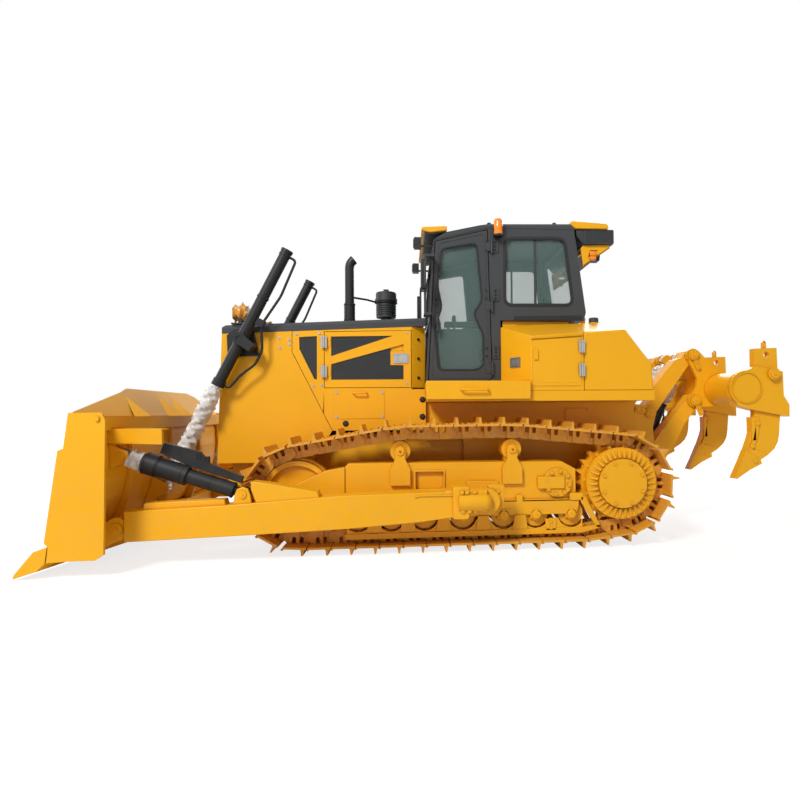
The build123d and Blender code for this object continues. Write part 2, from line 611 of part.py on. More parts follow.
with BuildPart() as moldboard:
    wing_run(face + back[::-1], -inside, inside)
    # lower and upper box beams behind the plate
    wing_run([(BEAM_BACK, 140), (3090.3, 140), (EDGE_HEEL, 254), (3010, 330), (BEAM_BACK, 330)], -inside, inside)
    wing_run([(2800, 1165), (2888, 1165), (2888, BLADE_TOP), (2800, BLADE_TOP)], -inside, inside)
    # upright ribs between the beams
    for y in (-1240, -420, 420, 1240):
        rib = [(swept(x, y), z) for x, z in ((BEAM_BACK, 320), (3000, 320), (2900, 560), (2862, 900),
                                             (2880, 1180), (2810, 1180), (2800, 900), (2830, 560))]
        slab(rib, y - 15, y + 15)
    # end plates
    end_shape = [(2793, 1255), (2815, 1305), (2850, 1316), (3073, 1314), (3110, 1031), (3152, 1015), (3249, 285),
                 (3219, 258), (3231, 132), (3040, 141), (2867, 142), (2800, 185)]
    for side in (-1, 1):
        low, high = sorted((side * inside, side * BLADE_END_Y))
        slab(end_shape, low, high)
    # spill guard and its folded gussets
    add(guard_mid)
    add(guard_wing)
    add(mirror(guard_wing, about=Plane.XZ))
    for y in GUSSETS:
        add(pyramid(y))
    for side in (-1, 1):
        # lugs for the push arm, the brace and the lift rod
        for mid, half in ((ARM_MID, TONGUE + SEAT), (ARM_MID, -TONGUE - SEAT - LUG_T)):
            low, high = sorted((side * (mid + half), side * (mid + half + LUG_T)))
            slab([(ARM_PIN_X, ARM_PIN_Z - 100), (2985, 150), (2985, 325), (2960, 380),
                  (ARM_PIN_X, ARM_PIN_Z + 100)], low, high)
            drum(ARM_PIN_X, ARM_PIN_Z, 100, low, high)
        block(ARM_PIN_X - 110, ARM_END_X + 5, *sorted((side * ARM_IN, side * ARM_OUT)), ARM_PIN_Z - 110,
              ARM_PIN_Z + 110, Mode.SUBTRACT)
        low, high = sorted((side * (ARM_MID - TONGUE - LUG_T), side * (ARM_MID + TONGUE + LUG_T)))
        drum(ARM_PIN_X, ARM_PIN_Z, 42, low, high)
        for shift in (-70, 40 + SEAT):
            low, high = sorted((side * (ARM_MID + shift), side * (ARM_MID + shift + 30)))
            slab([(BRACE_EYE_X, BRACE_EYE_Z - 60), (2945, 820), (2945, 1060), (BRACE_EYE_X, BRACE_EYE_Z + 60)],
                 low, high)
            drum(BRACE_EYE_X, BRACE_EYE_Z, 60, low, high)
        low, high = sorted((side * (ARM_MID - 70), side * (ARM_MID + 70)))
        drum(BRACE_EYE_X, BRACE_EYE_Z, 28, low, high)
        for shift in (-70, 45):
            low, high = sorted((side * (LIFT_Y + shift), side * (LIFT_Y + shift + 25)))
            slab([(LIFT_EYE_X, LIFT_EYE_Z - 60), (2910, 420), (2910, 720), (LIFT_EYE_X, LIFT_EYE_Z + 60)],
                 low, high)
            drum(LIFT_EYE_X, LIFT_EYE_Z, 60, low, high)
        # channel guard over the front of the brace
        low, high = sorted((side * (ARM_OUT - 40), side * ARM_OUT))
        slab([(2480, 1040), (2484, 1174), (2960, 1178), (2960, 1060), (2925, 1056)], low, high)
        low, high = sorted((side * (ARM_OUT - 160), side * ARM_OUT))
        slab([(2484, 1160), (2484, 1174), (2960, 1178), (2960, 1164)], low, high)
save(moldboard.part, "blade_moldboard")

with BuildPart() as cutting_edge:
    wing_run([(3330, 12), (3320, 46), (3179, 220), (EDGE_HEEL, 257), (3092, 130), (3159, 64)],
             -BLADE_END_Y, BLADE_END_Y)
save(cutting_edge.part, "cutting_edge")

# ---------------------------------------------------------------- push arms, tilt cylinder, brace
STUB_R = 75
with BuildPart() as push_arm:
    slab([(ARM_END_X, 215), (ARM_END_X, 475), (1960, 509), (956, 574), (-60, 593), (-60, 369), (308, 326), (948, 282),
          (1673, 253)], ARM_IN, ARM_OUT)
    block(-120, 60, ARM_IN, ARM_OUT, TRUNNION_Z - 115, TRUNNION_Z + 105)
    block(TRUNNION_X, -100, ARM_IN, ARM_OUT, TRUNNION_Z - 115, TRUNNION_Z + 115)
    drum(TRUNNION_X, TRUNNION_Z, 115, ARM_IN, ARM_OUT)
    drum(TRUNNION_X, TRUNNION_Z, 88, ARM_OUT, ARM_OUT + 20)
    drum(TRUNNION_X, TRUNNION_Z, STUB_R + PIN_FIT, ARM_IN, ARM_OUT - 35, Mode.SUBTRACT)
    # front tongue
    slab([(ARM_END_X - 10, 250), (ARM_END_X - 10, 460), (ARM_PIN_X, ARM_PIN_Z + 95), (ARM_PIN_X, ARM_PIN_Z - 95)],
         ARM_MID - TONGUE, ARM_MID + TONGUE)
    drum(ARM_PIN_X, ARM_PIN_Z, 95, ARM_MID - TONGUE, ARM_MID + TONGUE)
    drum(ARM_PIN_X, ARM_PIN_Z, 42 + PIN_FIT, ARM_MID - TONGUE, ARM_MID + TONGUE, Mode.SUBTRACT)
    # lugs for the brace and the folded guard behind them
    for shift in (-70, 40 + SEAT):
        slab([(1900, 505), (BRACE_PIN_X + 65, BRACE_PIN_Z), (BRACE_PIN_X, BRACE_PIN_Z + 65),
              (BRACE_PIN_X - 65, BRACE_PIN_Z), (1740, 515)], ARM_MID + shift, ARM_MID + shift + 30)
    drum(BRACE_PIN_X, BRACE_PIN_Z, 30, ARM_MID - 70, ARM_MID + 70)
    slab([(1745, 710), (1600, 690), (1179, 611), (1160, 555), (1700, 520), (1745, 640)],
         ARM_MID - 80, ARM_MID + 80)
save(push_arm.part, "push_arm_left")
save(mirror(push_arm.part, about=Plane.XZ), "push_arm_right")

BRACE_REAR = (BRACE_PIN_X, BRACE_PIN_Z)
BRACE_FRONT = (BRACE_EYE_X, BRACE_EYE_Z)
# distance from the rear pin, length and radius of each turned section of the tilt cylinder
TILT_SECTIONS = [(40, 50, 38), (90, 415, 66), (505, 40, 88), (545, 225, 85), (770, 110, 96), (880, 135, 38)]
with BuildPart() as tilt_cylinder:
    for start, length, radius in TILT_SECTIONS:
        rod_between(toward(BRACE_REAR, BRACE_FRONT, start), toward(BRACE_REAR, BRACE_FRONT, start + length),
                    radius, ARM_MID)
    for x, z, radius, pin_r in ((*BRACE_REAR, 62, 30), (*BRACE_FRONT, 58, 28)):
        drum(x, z, radius, ARM_MID - 40, ARM_MID + 40)
        drum(x, z, pin_r + PIN_FIT, ARM_MID - 40, ARM_MID + 40, Mode.SUBTRACT)
    # folded guard plate along the top of the cylinder
    slab([(2497, 1050), (2196, 968), (2113, 864), (1830, 745), (1845, 690), (2130, 790), (2290, 850),
          (2530, 962)], ARM_MID - 40, ARM_MID + 10)
save(tilt_cylinder.part, "tilt_cylinder")

with BuildPart() as brace:
    for start, length, radius in ((50, 205, 38), (255, 500, 60), (755, 260, 38)):
        rod_between(toward(BRACE_REAR, BRACE_FRONT, start), toward(BRACE_REAR, BRACE_FRONT, start + length),
                    radius, -ARM_MID)
    for x, z, radius, pin_r in ((*BRACE_REAR, 62, 30), (*BRACE_FRONT, 58, 28)):
        drum(x, z, radius, -ARM_MID - 40, -ARM_MID + 40)
        drum(x, z, pin_r + PIN_FIT, -ARM_MID - 40, -ARM_MID + 40, Mode.SUBTRACT)
save(brace.part, "brace")

# ---------------------------------------------------------------- lift cylinders
YOKE = (YOKE_X, YOKE_Z)
LIFT_EYE = (LIFT_EYE_X, LIFT_EYE_Z)
LIFT_BELOW, LIFT_ABOVE = 517, 1008      # barrel reach below and above its trunnion
LIFT_R = 55
LIFT_ROD_R = 32
LIFT_BORE_R = 44
GLAND = 60
TRUNNION_R = 28
CHEEK_OUT = (805, 830)
lift_low = toward(YOKE, LIFT_EYE, LIFT_BELOW)
lift_high = toward(YOKE, LIFT_EYE, -LIFT_ABOVE)
with BuildPart() as lift_barrel:
    rod_between(lift_low, lift_high, LIFT_R, LIFT_Y)
    rod_between(lift_low, toward(YOKE, LIFT_EYE, LIFT_BELOW - 70), LIFT_R + 9, LIFT_Y)
    rod_between(toward(YOKE, LIFT_EYE, -60), toward(YOKE, LIFT_EYE, 60), LIFT_R + 9, LIFT_Y)
    rod_between(toward(YOKE, LIFT_EYE, -LIFT_ABOVE + 30), toward(YOKE, LIFT_EYE, -LIFT_ABOVE), LIFT_R + 6, LIFT_Y)
    drum(*YOKE, TRUNNION_R, 652, 822)
    rod_between(toward(YOKE, LIFT_EYE, LIFT_BELOW - GLAND), toward(YOKE, LIFT_EYE, -LIFT_ABOVE + 45),
                LIFT_BORE_R, LIFT_Y, Mode.SUBTRACT)
    rod_between(toward(YOKE, LIFT_EYE, LIFT_BELOW + 1), toward(YOKE, LIFT_EYE, LIFT_BELOW - GLAND - 1),
                LIFT_ROD_R + PIN_FIT, LIFT_Y, Mode.SUBTRACT)
handed(lift_barrel.part, "lift_barrel")

with BuildPart() as lift_rod:
    rod_between(LIFT_EYE, toward(YOKE, LIFT_EYE, LIFT_BELOW - 360), LIFT_ROD_R, LIFT_Y)
    rod_between(toward(YOKE, LIFT_EYE, LIFT_BELOW - 300), toward(YOKE, LIFT_EYE, LIFT_BELOW - 360),
                LIFT_BORE_R - 1, LIFT_Y)
    drum(*LIFT_EYE, 60, LIFT_Y - 40, LIFT_Y + 40)
handed(lift_rod.part, "lift_rod")

WEB_DIRECTION = (YOKE_X - 79, YOKE_Z - 61)
web_near = toward(YOKE, WEB_DIRECTION, 98)
web_far = toward(YOKE, WEB_DIRECTION, 150)
with BuildPart() as lift_yokes:
    for side in (-1, 1):
        low, high = sorted((side * (HOOD_HALF + SEAT), side * (HOOD_HALF + 22)))
        slab([(1885, 1885), (2190, 1870), (2200, 2090), (2130, 2150), (1940, 2150)], low, high)
        for y_low, y_high in ((HOOD_HALF + 20, 665), CHEEK_OUT):
            low, high = sorted((side * y_low, side * y_high))
            slab(strap(YOKE, web_far, 52, 45), low, high)
            drum(*YOKE, 62, low, high)
            drum(*YOKE, TRUNNION_R + PIN_FIT, *sorted((side * 650, side * 840)), Mode.SUBTRACT)
        low, high = sorted((side * (HOOD_HALF + 20), side * CHEEK_OUT[1]))
        slab(strap(web_near, web_far, 45, 45), low, high)
save(lift_yokes.part, "lift_yokes")

# ---------------------------------------------------------------- ripper
HULL_REAR = -1990
LUG_IN = (250, 295)     # lugs on each side of the ripper links
LUG_OUT = (505, 545)
BOSS_R = 72
RIP_PIN_R = 38
RIP_CYL_R = 60
RIP_ROD_R = 34
RIP_GLAND = 780         # from the lower pin to the cylinder's head
EYE_HALF = 35

with BuildPart() as ripper_bracket:
    block(HULL_REAR - 60, HULL_REAR - SEAT, -HULL_HALF, HULL_HALF, 570, 1395)
    for side in (-1, 1):
        for y_low, y_high in (LUG_IN, LUG_OUT):
            low, high = sorted((side * y_low, side * y_high))
            slab([(HULL_REAR - 40, 1380), (RIP_C[0], RIP_C[1] + BOSS_R), (RIP_C[0] - BOSS_R, RIP_C[1]),
                  (RIP_C[0] - 30, 1120), (RIP_D[0] - 30, 900), (RIP_D[0] - BOSS_R, RIP_D[1]),
                  (RIP_D[0], RIP_D[1] - BOSS_R), (HULL_REAR - 40, 590)], low, high)
            drum(*RIP_C, BOSS_R, low, high)
            drum(*RIP_D, BOSS_R, low, high)
        for y_low, y_high in ((RIP_CYL_Y - EYE_HALF - 35, RIP_CYL_Y - EYE_HALF - 5),
                              (RIP_CYL_Y + EYE_HALF + 5, LUG_IN[1])):
            low, high = sorted((side * y_low, side * y_high))
            slab([(HULL_REAR - 40, 760), (RIP_E[0], RIP_E[1] + 60), (RIP_E[0], RIP_E[1] - 60),
                  (HULL_REAR - 40, 575)], low, high)
            drum(*RIP_E, 60, low, high)
        for point, y_low, y_high in ((RIP_C, LUG_IN[0], LUG_OUT[1] + 12), (RIP_D, LUG_IN[0], LUG_OUT[1] + 12),
                                     (RIP_E, RIP_CYL_Y - EYE_HALF - 35, LUG_IN[1])):
            drum(*point, RIP_PIN_R, *sorted((side * y_low, side * y_high)))
save(ripper_bracket.part, "ripper_bracket")


def beside(start, end, along, across):
    """A point from start, so far along the line to end and so far to its rear side."""
    length = hypot(end[0] - start[0], end[1] - start[1])
    ux, uz = (end[0] - start[0]) / length, (end[1] - start[1]) / length
    return (start[0] + along * ux - across * uz, start[1] + along * uz + across * ux)


RIP_LENGTH = hypot(RIP_A[0] - RIP_C[0], RIP_A[1] - RIP_C[1])
with BuildPart() as upper_links:
    for side in (-1, 1):
        low, high = sorted((side * LINK_Y[0], side * LINK_Y[1]))
        slab([beside(RIP_C, RIP_A, *p) for p in ((0, -BOSS_R), (170, -BOSS_R), (230, -130), (650, -112),
                                                 (710, -BOSS_R), (RIP_LENGTH, -BOSS_R), (RIP_LENGTH, BOSS_R - 10),
                                                 (700, 40), (215, 58), (0, BOSS_R))], low, high)
        for point in (RIP_C, RIP_A):
            drum(*point, BOSS_R, low, high)
        for point in (RIP_C, RIP_A):
            drum(*point, RIP_PIN_R + PIN_FIT, low, high, Mode.SUBTRACT)
save(upper_links.part, "ripper_upper_links")

with BuildPart() as lower_link:
    for side in (-1, 1):
        low, high = sorted((side * LINK_Y[0], side * LINK_Y[1]))
        slab([beside(RIP_D, RIP_B, *p) for p in ((0, -BOSS_R), (300, -80), (RIP_LENGTH, -BOSS_R),
                                                 (RIP_LENGTH, BOSS_R), (520, 76), (255, 132), (100, 132),
                                                 (0, BOSS_R))], low, high)
        for point in (RIP_D, RIP_B):
            drum(*point, BOSS_R, low, high)
        for point in (RIP_D, RIP_B):
            drum(*point, RIP_PIN_R + PIN_FIT, low, high, Mode.SUBTRACT)
    slab([beside(RIP_D, RIP_B, *p) for p in ((300, 88), (500, 72), (500, 40), (300, 50))],
         -LINK_Y[0] - 5, LINK_Y[0] + 5)
save(lower_link.part, "ripper_lower_link")

BEAM_X, BEAM_Z = -3030, 1523
BEAM_R = 173
POCKET_HALF = 78
POCKET_REAR = -3480     # the ripper's rearmost face
SHANKS = (-SHANK_Y, 0, SHANK_Y)
SHANK_PIN = (-3304, 1662)
with BuildPart() as ripper_beam:
    drum(BEAM_X, BEAM_Z, BEAM_R, -SHANK_Y, SHANK_Y)
    for side in (-1, 1):
        for y_low, y_high in (LUG_IN, LUG_OUT):
            low, high = sorted((side * y_low, side * y_high))
            slab([(RIP_A[0] + 10, RIP_A[1] + BOSS_R), (RIP_A[0] + BOSS_R, RIP_A[1]), (-2705, 1800), (-2775, 1650),
                  (-2765, 1560), (RIP_B[0] + BOSS_R, RIP_B[1] + 10), (RIP_B[0], RIP_B[1] - BOSS_R),
                  (BEAM_X - 20, BEAM_Z - BEAM_R), (BEAM_X - 20, BEAM_Z + BEAM_R),
                  (RIP_A[0] - 60, RIP_A[1] + 50)], low, high)
            drum(*RIP_A, BOSS_R, low, high)
            drum(*RIP_B, BOSS_R, low, high)
        for y_low, y_high in ((RIP_CYL_Y - EYE_HALF - 35, RIP_CYL_Y - EYE_HALF - 5),
                              (RIP_CYL_Y + EYE_HALF + 5, LUG_IN[1])):
            low, high = sorted((side * y_low, side * y_high))
            slab([(RIP_A[0], RIP_A[1] + 62), (RIP_A[0], RIP_A[1] - 62), (-2960, 1640), (-3040, 1690)], low, high)
            drum(*RIP_A, 62, low, high)
        for point, y_low in ((RIP_A, LUG_IN[0]), (RIP_B, LUG_IN[0])):
            drum(*point, RIP_PIN_R, *sorted((side * y_low, side * (LUG_OUT[1] + 12))))
    for y in SHANKS:
        slab([(-2935, 1345), (-3125, 1296), (POCKET_REAR, 1231), (POCKET_REAR, 1351), (-3422, 1445), (-3416, 1689),
              (-3372, 1700), (-3128, 1745), (-3030, 1700), (-2860, 1560)], y - POCKET_HALF, y + POCKET_HALF)
    for y in (-SHANK_Y - POCKET_HALF, SHANK_Y + POCKET_HALF - 20):
        drum(BEAM_X, BEAM_Z, BEAM_R + 6, y, y + 20)
    for y in SHANKS:
        slab([(-3127, 1200), (-3407, 1200), (-3384, 1760), (-3127, 1760)],
             y - SHANK_T / 2 - 1, y + SHANK_T / 2 + 1, Mode.SUBTRACT)
        drum(*SHANK_PIN, 38, y - POCKET_HALF - 30, y + POCKET_HALF + 30)
save(ripper_beam.part, "ripper_beam")

with BuildPart() as shanks:
    for y in SHANKS:
        low, high = y - SHANK_T / 2, y + SHANK_T / 2
        slab([(-3132, 1925), (-3132, 1249), (-3107, 1125), (-3072, 1010), (-3029, 893), (-3154, 822),
              (-3185, 795), (-3270, 845), (-3337, 905), (-3375, 975), (-3391, 1060), (-3401, 1226),
              (-3377, 1934)], low, high)
        slab([(-3240, 1929), (-3282, 1930), (-3282, 1990), (-3261, 2015), (-3240, 1990)], y - 14, y + 14)
        drum(-3266, 1863, 30, low, high, Mode.SUBTRACT)
        drum(-3261, 1992, 11, y - 14, y + 14, Mode.SUBTRACT)
        drum(*SHANK_PIN, 38 + PIN_FIT, low, high, Mode.SUBTRACT)
save(shanks.part, "ripper_shanks")

with BuildPart() as points:
    for y in SHANKS:
        slab([(-3028, 892), (-2990, 800), (-2898, 608), (-2930, 604), (-3068, 693), (-3195, 754),
              (-3184, 794), (-3154, 821)], y - 48, y + 48)
save(points.part, "ripper_points")

rip_head = toward(RIP_E, RIP_A, RIP_GLAND)
with BuildPart() as ripper_barrel:
    rod_between(toward(RIP_E, RIP_A, 40), toward(RIP_E, RIP_A, 90), EYE_HALF - 2, RIP_CYL_Y)
    rod_between(toward(RIP_E, RIP_A, 90), rip_head, RIP_CYL_R, RIP_CYL_Y)
    drum(*RIP_E, 60, RIP_CYL_Y - EYE_HALF, RIP_CYL_Y + EYE_HALF)
    drum(*RIP_E, RIP_PIN_R + PIN_FIT, RIP_CYL_Y - EYE_HALF, RIP_CYL_Y + EYE_HALF, Mode.SUBTRACT)
    rod_between(toward(RIP_E, RIP_A, 110), toward(RIP_E, RIP_A, RIP_GLAND - GLAND), RIP_CYL_R - 12, RIP_CYL_Y,
                Mode.SUBTRACT)
    rod_between(toward(RIP_E, RIP_A, RIP_GLAND - GLAND - 1), toward(RIP_E, RIP_A, RIP_GLAND + 1),
                RIP_ROD_R + PIN_FIT, RIP_CYL_Y, Mode.SUBTRACT)
handed(ripper_barrel.part, "ripper_barrel")

with BuildPart() as ripper_rod:
    rod_between(toward(RIP_E, RIP_A, RIP_GLAND - 140), RIP_A, RIP_ROD_R, RIP_CYL_Y)
    rod_between(toward(RIP_E, RIP_A, RIP_GLAND - 140), toward(RIP_E, RIP_A, RIP_GLAND - 90), RIP_CYL_R - 13,
                RIP_CYL_Y)
    drum(*RIP_A, 58, RIP_CYL_Y - EYE_HALF, RIP_CYL_Y + EYE_HALF)
handed(ripper_rod.part, "ripper_rod")

# ---------------------------------------------------------------- cab
CAB_WALL = 50
CAB_FLOOR = 1584
CAB_STEP = 2244         # floor level over the rear boxes
CAB_SPLIT = [(112, 3071), (-450, 3204), (-1362, 3204)]   # roof joint line
DOOR_PROUD = 12
DOOR_GAP = 10
DOOR_IN = CAB_HALF - CAB_WALL + 8     # inner face of the cab door
DOOR_HINGE_X = -486
DOOR_HINGE_Y = CAB_HALF + DOOR_PROUD + 14
DOOR_HINGES = (1700, 2350, 2960)
door_outline = [(168, 1618), (92, 3052), (-440, 3178), (-480, 1660), (-440, 1618)]
pane_outline = [(36, 2977), (-332, 3046), (-384, 2444), (-295, 2316), (-396, 2095), (-394, 1779), (-322, 1732),
                (72, 1732), (109, 2141), (30, 2378), (74, 2597)]
side_outline = [(198, CAB_FLOOR), *CAB_SPLIT, (-1481, 2333), (-1456, CAB_STEP), (-575, CAB_STEP),
                (-575, CAB_FLOOR)]
rear_window = [(-629, 3100), (-1261, 3111), (-1343, 2411), (-623, 2405)]
BEAD = 14               # width of the rubber seal round each pane


def grown(points, amount):
    """An outline moved outward everywhere by an amount, or inward by a negative one."""
    with BuildSketch(Plane.XZ) as shape:
        with BuildLine():
            Polyline(*points, close=True)
        make_face()
        offset(amount=amount, kind=Kind.INTERSECTION)
    return shape.sketch.faces()[0]


def sheet(face, y_low, y_high, mode=Mode.ADD):
    """Extrude a face in the XZ plane between two distances across the machine."""
    extrude(face.moved(Location((0, y_high, 0))), amount=y_high - y_low, dir=(0, -1, 0), mode=mode)


with BuildPart() as cab_frame:
    for side in (-1, 1):
        low, high = sorted((side * (CAB_HALF - CAB_WALL), side * CAB_HALF))
        slab(side_outline, low, high)
        sheet(grown(door_outline, DOOR_GAP), low, high, Mode.SUBTRACT)
        slab(rear_window, low, high, Mode.SUBTRACT)
        # door stop that the closed door rests against
        inner, outer = sorted((side * (CAB_HALF - CAB_WALL - 12), side * (CAB_HALF - CAB_WALL)))
        slab([(192, 1590), (116, 3060), (-446, 3196), (-500, 3196), (-545, 1590)], inner, outer)
        sheet(grown(door_outline, -40), inner, outer, Mode.SUBTRACT)
        # divider of the sliding rear window
        middle = side * (CAB_HALF - CAB_WALL / 2)
        slab([(-937, 2400), (-961, 2400), (-961, 3112), (-937, 3112)], middle - 8, middle + 8)
    wide = CAB_HALF - CAB_WALL
    slab([(198, CAB_FLOOR), (112, 3071), (62, 3083), (148, CAB_FLOOR)], -wide, wide)
    slab([(-1362, 3204), (-1481, 2333), (-1456, CAB_STEP), (-1406, CAB_STEP), (-1431, 2333), (-1312, 3204)],
         -wide, wide)
    block(-575, 198, -wide, wide, CAB_FLOOR, CAB_FLOOR + 30)
    block(-575, -562, -wide, wide, CAB_FLOOR, CAB_STEP + 20)
    block(-1440, -560, -wide, wide, CAB_STEP, CAB_STEP + 20)
    frame_knuckles(DOOR_HINGE_X, DOOR_HINGE_Y, 12, DOOR_HINGES, 90, DOOR_HINGE_X - 17, CAB_HALF - 1, 22)
    # windscreen, rear window
    slab([(210, 2330), (210, 3000), (40, 3000), (40, 2330)], -620, 620, Mode.SUBTRACT)
    slab([(-1200, 2420), (-1200, 3110), (-1520, 3110), (-1520, 2420)], -600, 600, Mode.SUBTRACT)
save(cab_frame.part, "cab_frame")


def front_x(z):
    """The cab's front face at a height."""
    return 198 + (112 - 198) * (z - CAB_FLOOR) / (3071 - CAB_FLOOR)


def rear_x(z):
    """The cab's rear face at a height above its lower bend."""
    return -1481 + (-1362 + 1481) * (z - 2333) / (3204 - 2333)


PANE_T = 8
with BuildPart() as cab_glass:
    for side in (-1, 1):
        middle = side * (CAB_HALF - CAB_WALL / 2)
        for cut in ([(-629, 3100), (-937 + SEAT, 3104), (-937 + SEAT, 2408), (-623, 2405)],
                    [(-961 - SEAT, 3106), (-1261, 3111), (-1343, 2411), (-961 - SEAT, 2408)]):
            sheet(grown(cut, -SEAT), middle - PANE_T / 2, middle + PANE_T / 2)
    for z_low, z_high, edge, half, inward in ((2330, 3000, front_x, 620, -1), (2420, 3110, rear_x, 600, 1)):
        low, high = z_low + SEAT, z_high - SEAT
        depth = inward * 20
        slab([(edge(low) + depth, low), (edge(high) + depth, high),
              (edge(high) + depth + inward * PANE_T, high), (edge(low) + depth + inward * PANE_T, low)],
             -half + SEAT, half - SEAT)
save(cab_glass.part, "cab_glass")

def roof_front(x):
    """Height just above the roof's sloping front part."""
    return CAB_SPLIT[0][1] + 2 * SEAT + (CAB_SPLIT[0][0] + 6 - x) * (3153 - CAB_SPLIT[0][1]) / (CAB_SPLIT[0][0] + 22)


def roof_top(x):
    """Height of the roof's rear part."""
    return 3249 + (3266 - 3249) * (-453 - x) / (1328 - 453)


EYE_RISE, EYE_T = 22, 16  # lifting eyes: height of the hole over the roof, plate
with BuildPart() as cab_roof:
    slab([(CAB_SPLIT[0][0] + 6, CAB_SPLIT[0][1] + SEAT), (-16, 3153), (-453, 3249), (-1328, 3266),
          (-1372, CAB_SPLIT[2][1] + SEAT), (CAB_SPLIT[1][0], CAB_SPLIT[1][1] + SEAT)], -CAB_HALF - 4, CAB_HALF + 4)
    chamfer(cab_roof.edges().filter_by(lambda e: e.center().Z > 3100 and abs(abs(e.center().Y) - CAB_HALF - 4) < 1
                                       and e.length > 150 and e.center().Z > 3190 + 0.1 * (e.center().X + 450)
                                       and abs(e.center().Z - CAB_SPLIT[2][1]) > 2), 18)
    for x in (-480, -1180):
        for y in (-610, 610):
            drum(x, roof_top(x) + EYE_RISE, 26, y - EYE_T / 2, y + EYE_T / 2)
            drum(x, roof_top(x) + EYE_RISE, 12, y - EYE_T / 2, y + EYE_T / 2, Mode.SUBTRACT)
save(cab_roof.part, "cab_roof")

# front visor, rear visor with the air conditioner under it
with BuildPart() as visors:
    slab([(110, roof_front(110)), (150, 3120), (236, 3206), (228, 3226), (0, 3242), (-10, roof_front(-10))],
         -CAB_HALF + 30, CAB_HALF - 30)
    slab([(92, 3060), (92, 3165), (205, 3208), (222, 3195), (150, 3110), (120, 3070)], -CAB_HALF + 60,
         CAB_HALF - 60, Mode.SUBTRACT)
    slab([(-1364.9, 3215), (-1328.6, 3266), (-1324, 3275), (-1412, 3392), (-1800, 3350), (-1841, 3277), (-1545, 3262)],
         -CAB_HALF + 20, CAB_HALF - 20)
    slab([(-1360, 3200), (-1430, 3362), (-1780, 3322), (-1815, 3285), (-1545, 3290)], -CAB_HALF + 45,
         CAB_HALF - 45, Mode.SUBTRACT)
save(visors.part, "cab_visors")

AIR_UNIT_Z = 3081
with BuildPart() as air_unit:
    slab([(-1859, AIR_UNIT_Z), (-1513, AIR_UNIT_Z), (-1513, 3240), (-1545, 3262 - SEAT), (-1841, 3277 - SEAT),
          (-1859, 3262)], -560, 560)
    for side in (-1, 1):
        low, high = sorted((side * 540, side * 560))
        slab([(-1805, 3085), (-1545, 2838), (-1390, 2838), (-1350, 3085)], low, high)
    slab([(-1290, 3060), (-1290, 2810), (-1560, 2810), (-1560, 3300), (-1340, 3300)], -560, 560, Mode.SUBTRACT)
save(air_unit.part, "air_conditioner")

with BuildPart() as cab_door:
    sheet(grown(door_outline, 0), DOOR_IN, CAB_HALF + DOOR_PROUD)
    sheet(grown(pane_outline, 0), DOOR_IN, CAB_HALF + DOOR_PROUD, Mode.SUBTRACT)
    door_knuckles(DOOR_HINGE_X, DOOR_HINGE_Y, 12, DOOR_HINGES, 90, DOOR_HINGE_X + 70, CAB_HALF + DOOR_PROUD, 8)
    block(60, 110, CAB_HALF + DOOR_PROUD, CAB_HALF + DOOR_PROUD + 22, 2190, 2300)
    block(72, 92, CAB_HALF + DOOR_PROUD + 22, CAB_HALF + DOOR_PROUD + 50, 2120, 2290)
handed(cab_door.part, "cab_door")

with BuildPart() as door_glass:
    sheet(grown(pane_outline, -SEAT), CAB_HALF - CAB_WALL / 2 - PANE_T / 2, CAB_HALF - CAB_WALL / 2 + PANE_T / 2)
handed(door_glass.part, "door_glass")

SEAT_X, SEAT_HALF, SEAT_TOP = -270, 250, 2100
with BuildPart() as seat:
    block(SEAT_X - 180, SEAT_X + 160, -180, 180, CAB_FLOOR + 30 + SEAT, 1940)
    block(SEAT_X - 230, SEAT_X + 200, -SEAT_HALF, SEAT_HALF, 1940, SEAT_TOP)
    fillet(seat.edges().filter_by(lambda e: e.center().Z > SEAT_TOP - 1), 40)
    slab([(SEAT_X - 160, 2060), (SEAT_X - 260, 2060), (SEAT_X - 345, 2740), (SEAT_X - 240, 2760)],
         -SEAT_HALF + 20, SEAT_HALF - 20)
    for side in (-1, 1):
        low, high = sorted((side * (SEAT_HALF + 5), side * (SEAT_HALF + 85)))
        block(SEAT_X - 200, SEAT_X + 250, low, high, 2230, 2300)
        inner, outer = sorted((side * (SEAT_HALF - 20), side * (SEAT_HALF + 60)))
        block(SEAT_X - 180, SEAT_X - 100, inner, outer, 1960, 2240)
save(seat.part, "seat")

with BuildPart() as console:
    slab([(125, CAB_FLOOR + 30 + SEAT), (30, CAB_FLOOR + 30 + SEAT), (30, 2100), (90, 2100)], -110, 110)
    slab([(20, 2090), (25, 2330), (70, 2330), (95, 2090)], -240, 240)
    for y in (-430, 430):
        block(-380, 60, y - 60, y + 60, CAB_FLOOR + 30 + SEAT, 2180)
        drum(-120, 2260, 26, y - 22, y + 22)
        block(-130, -110, y - 10, y + 10, 2180, 2250)
save(console.part, "control_console")

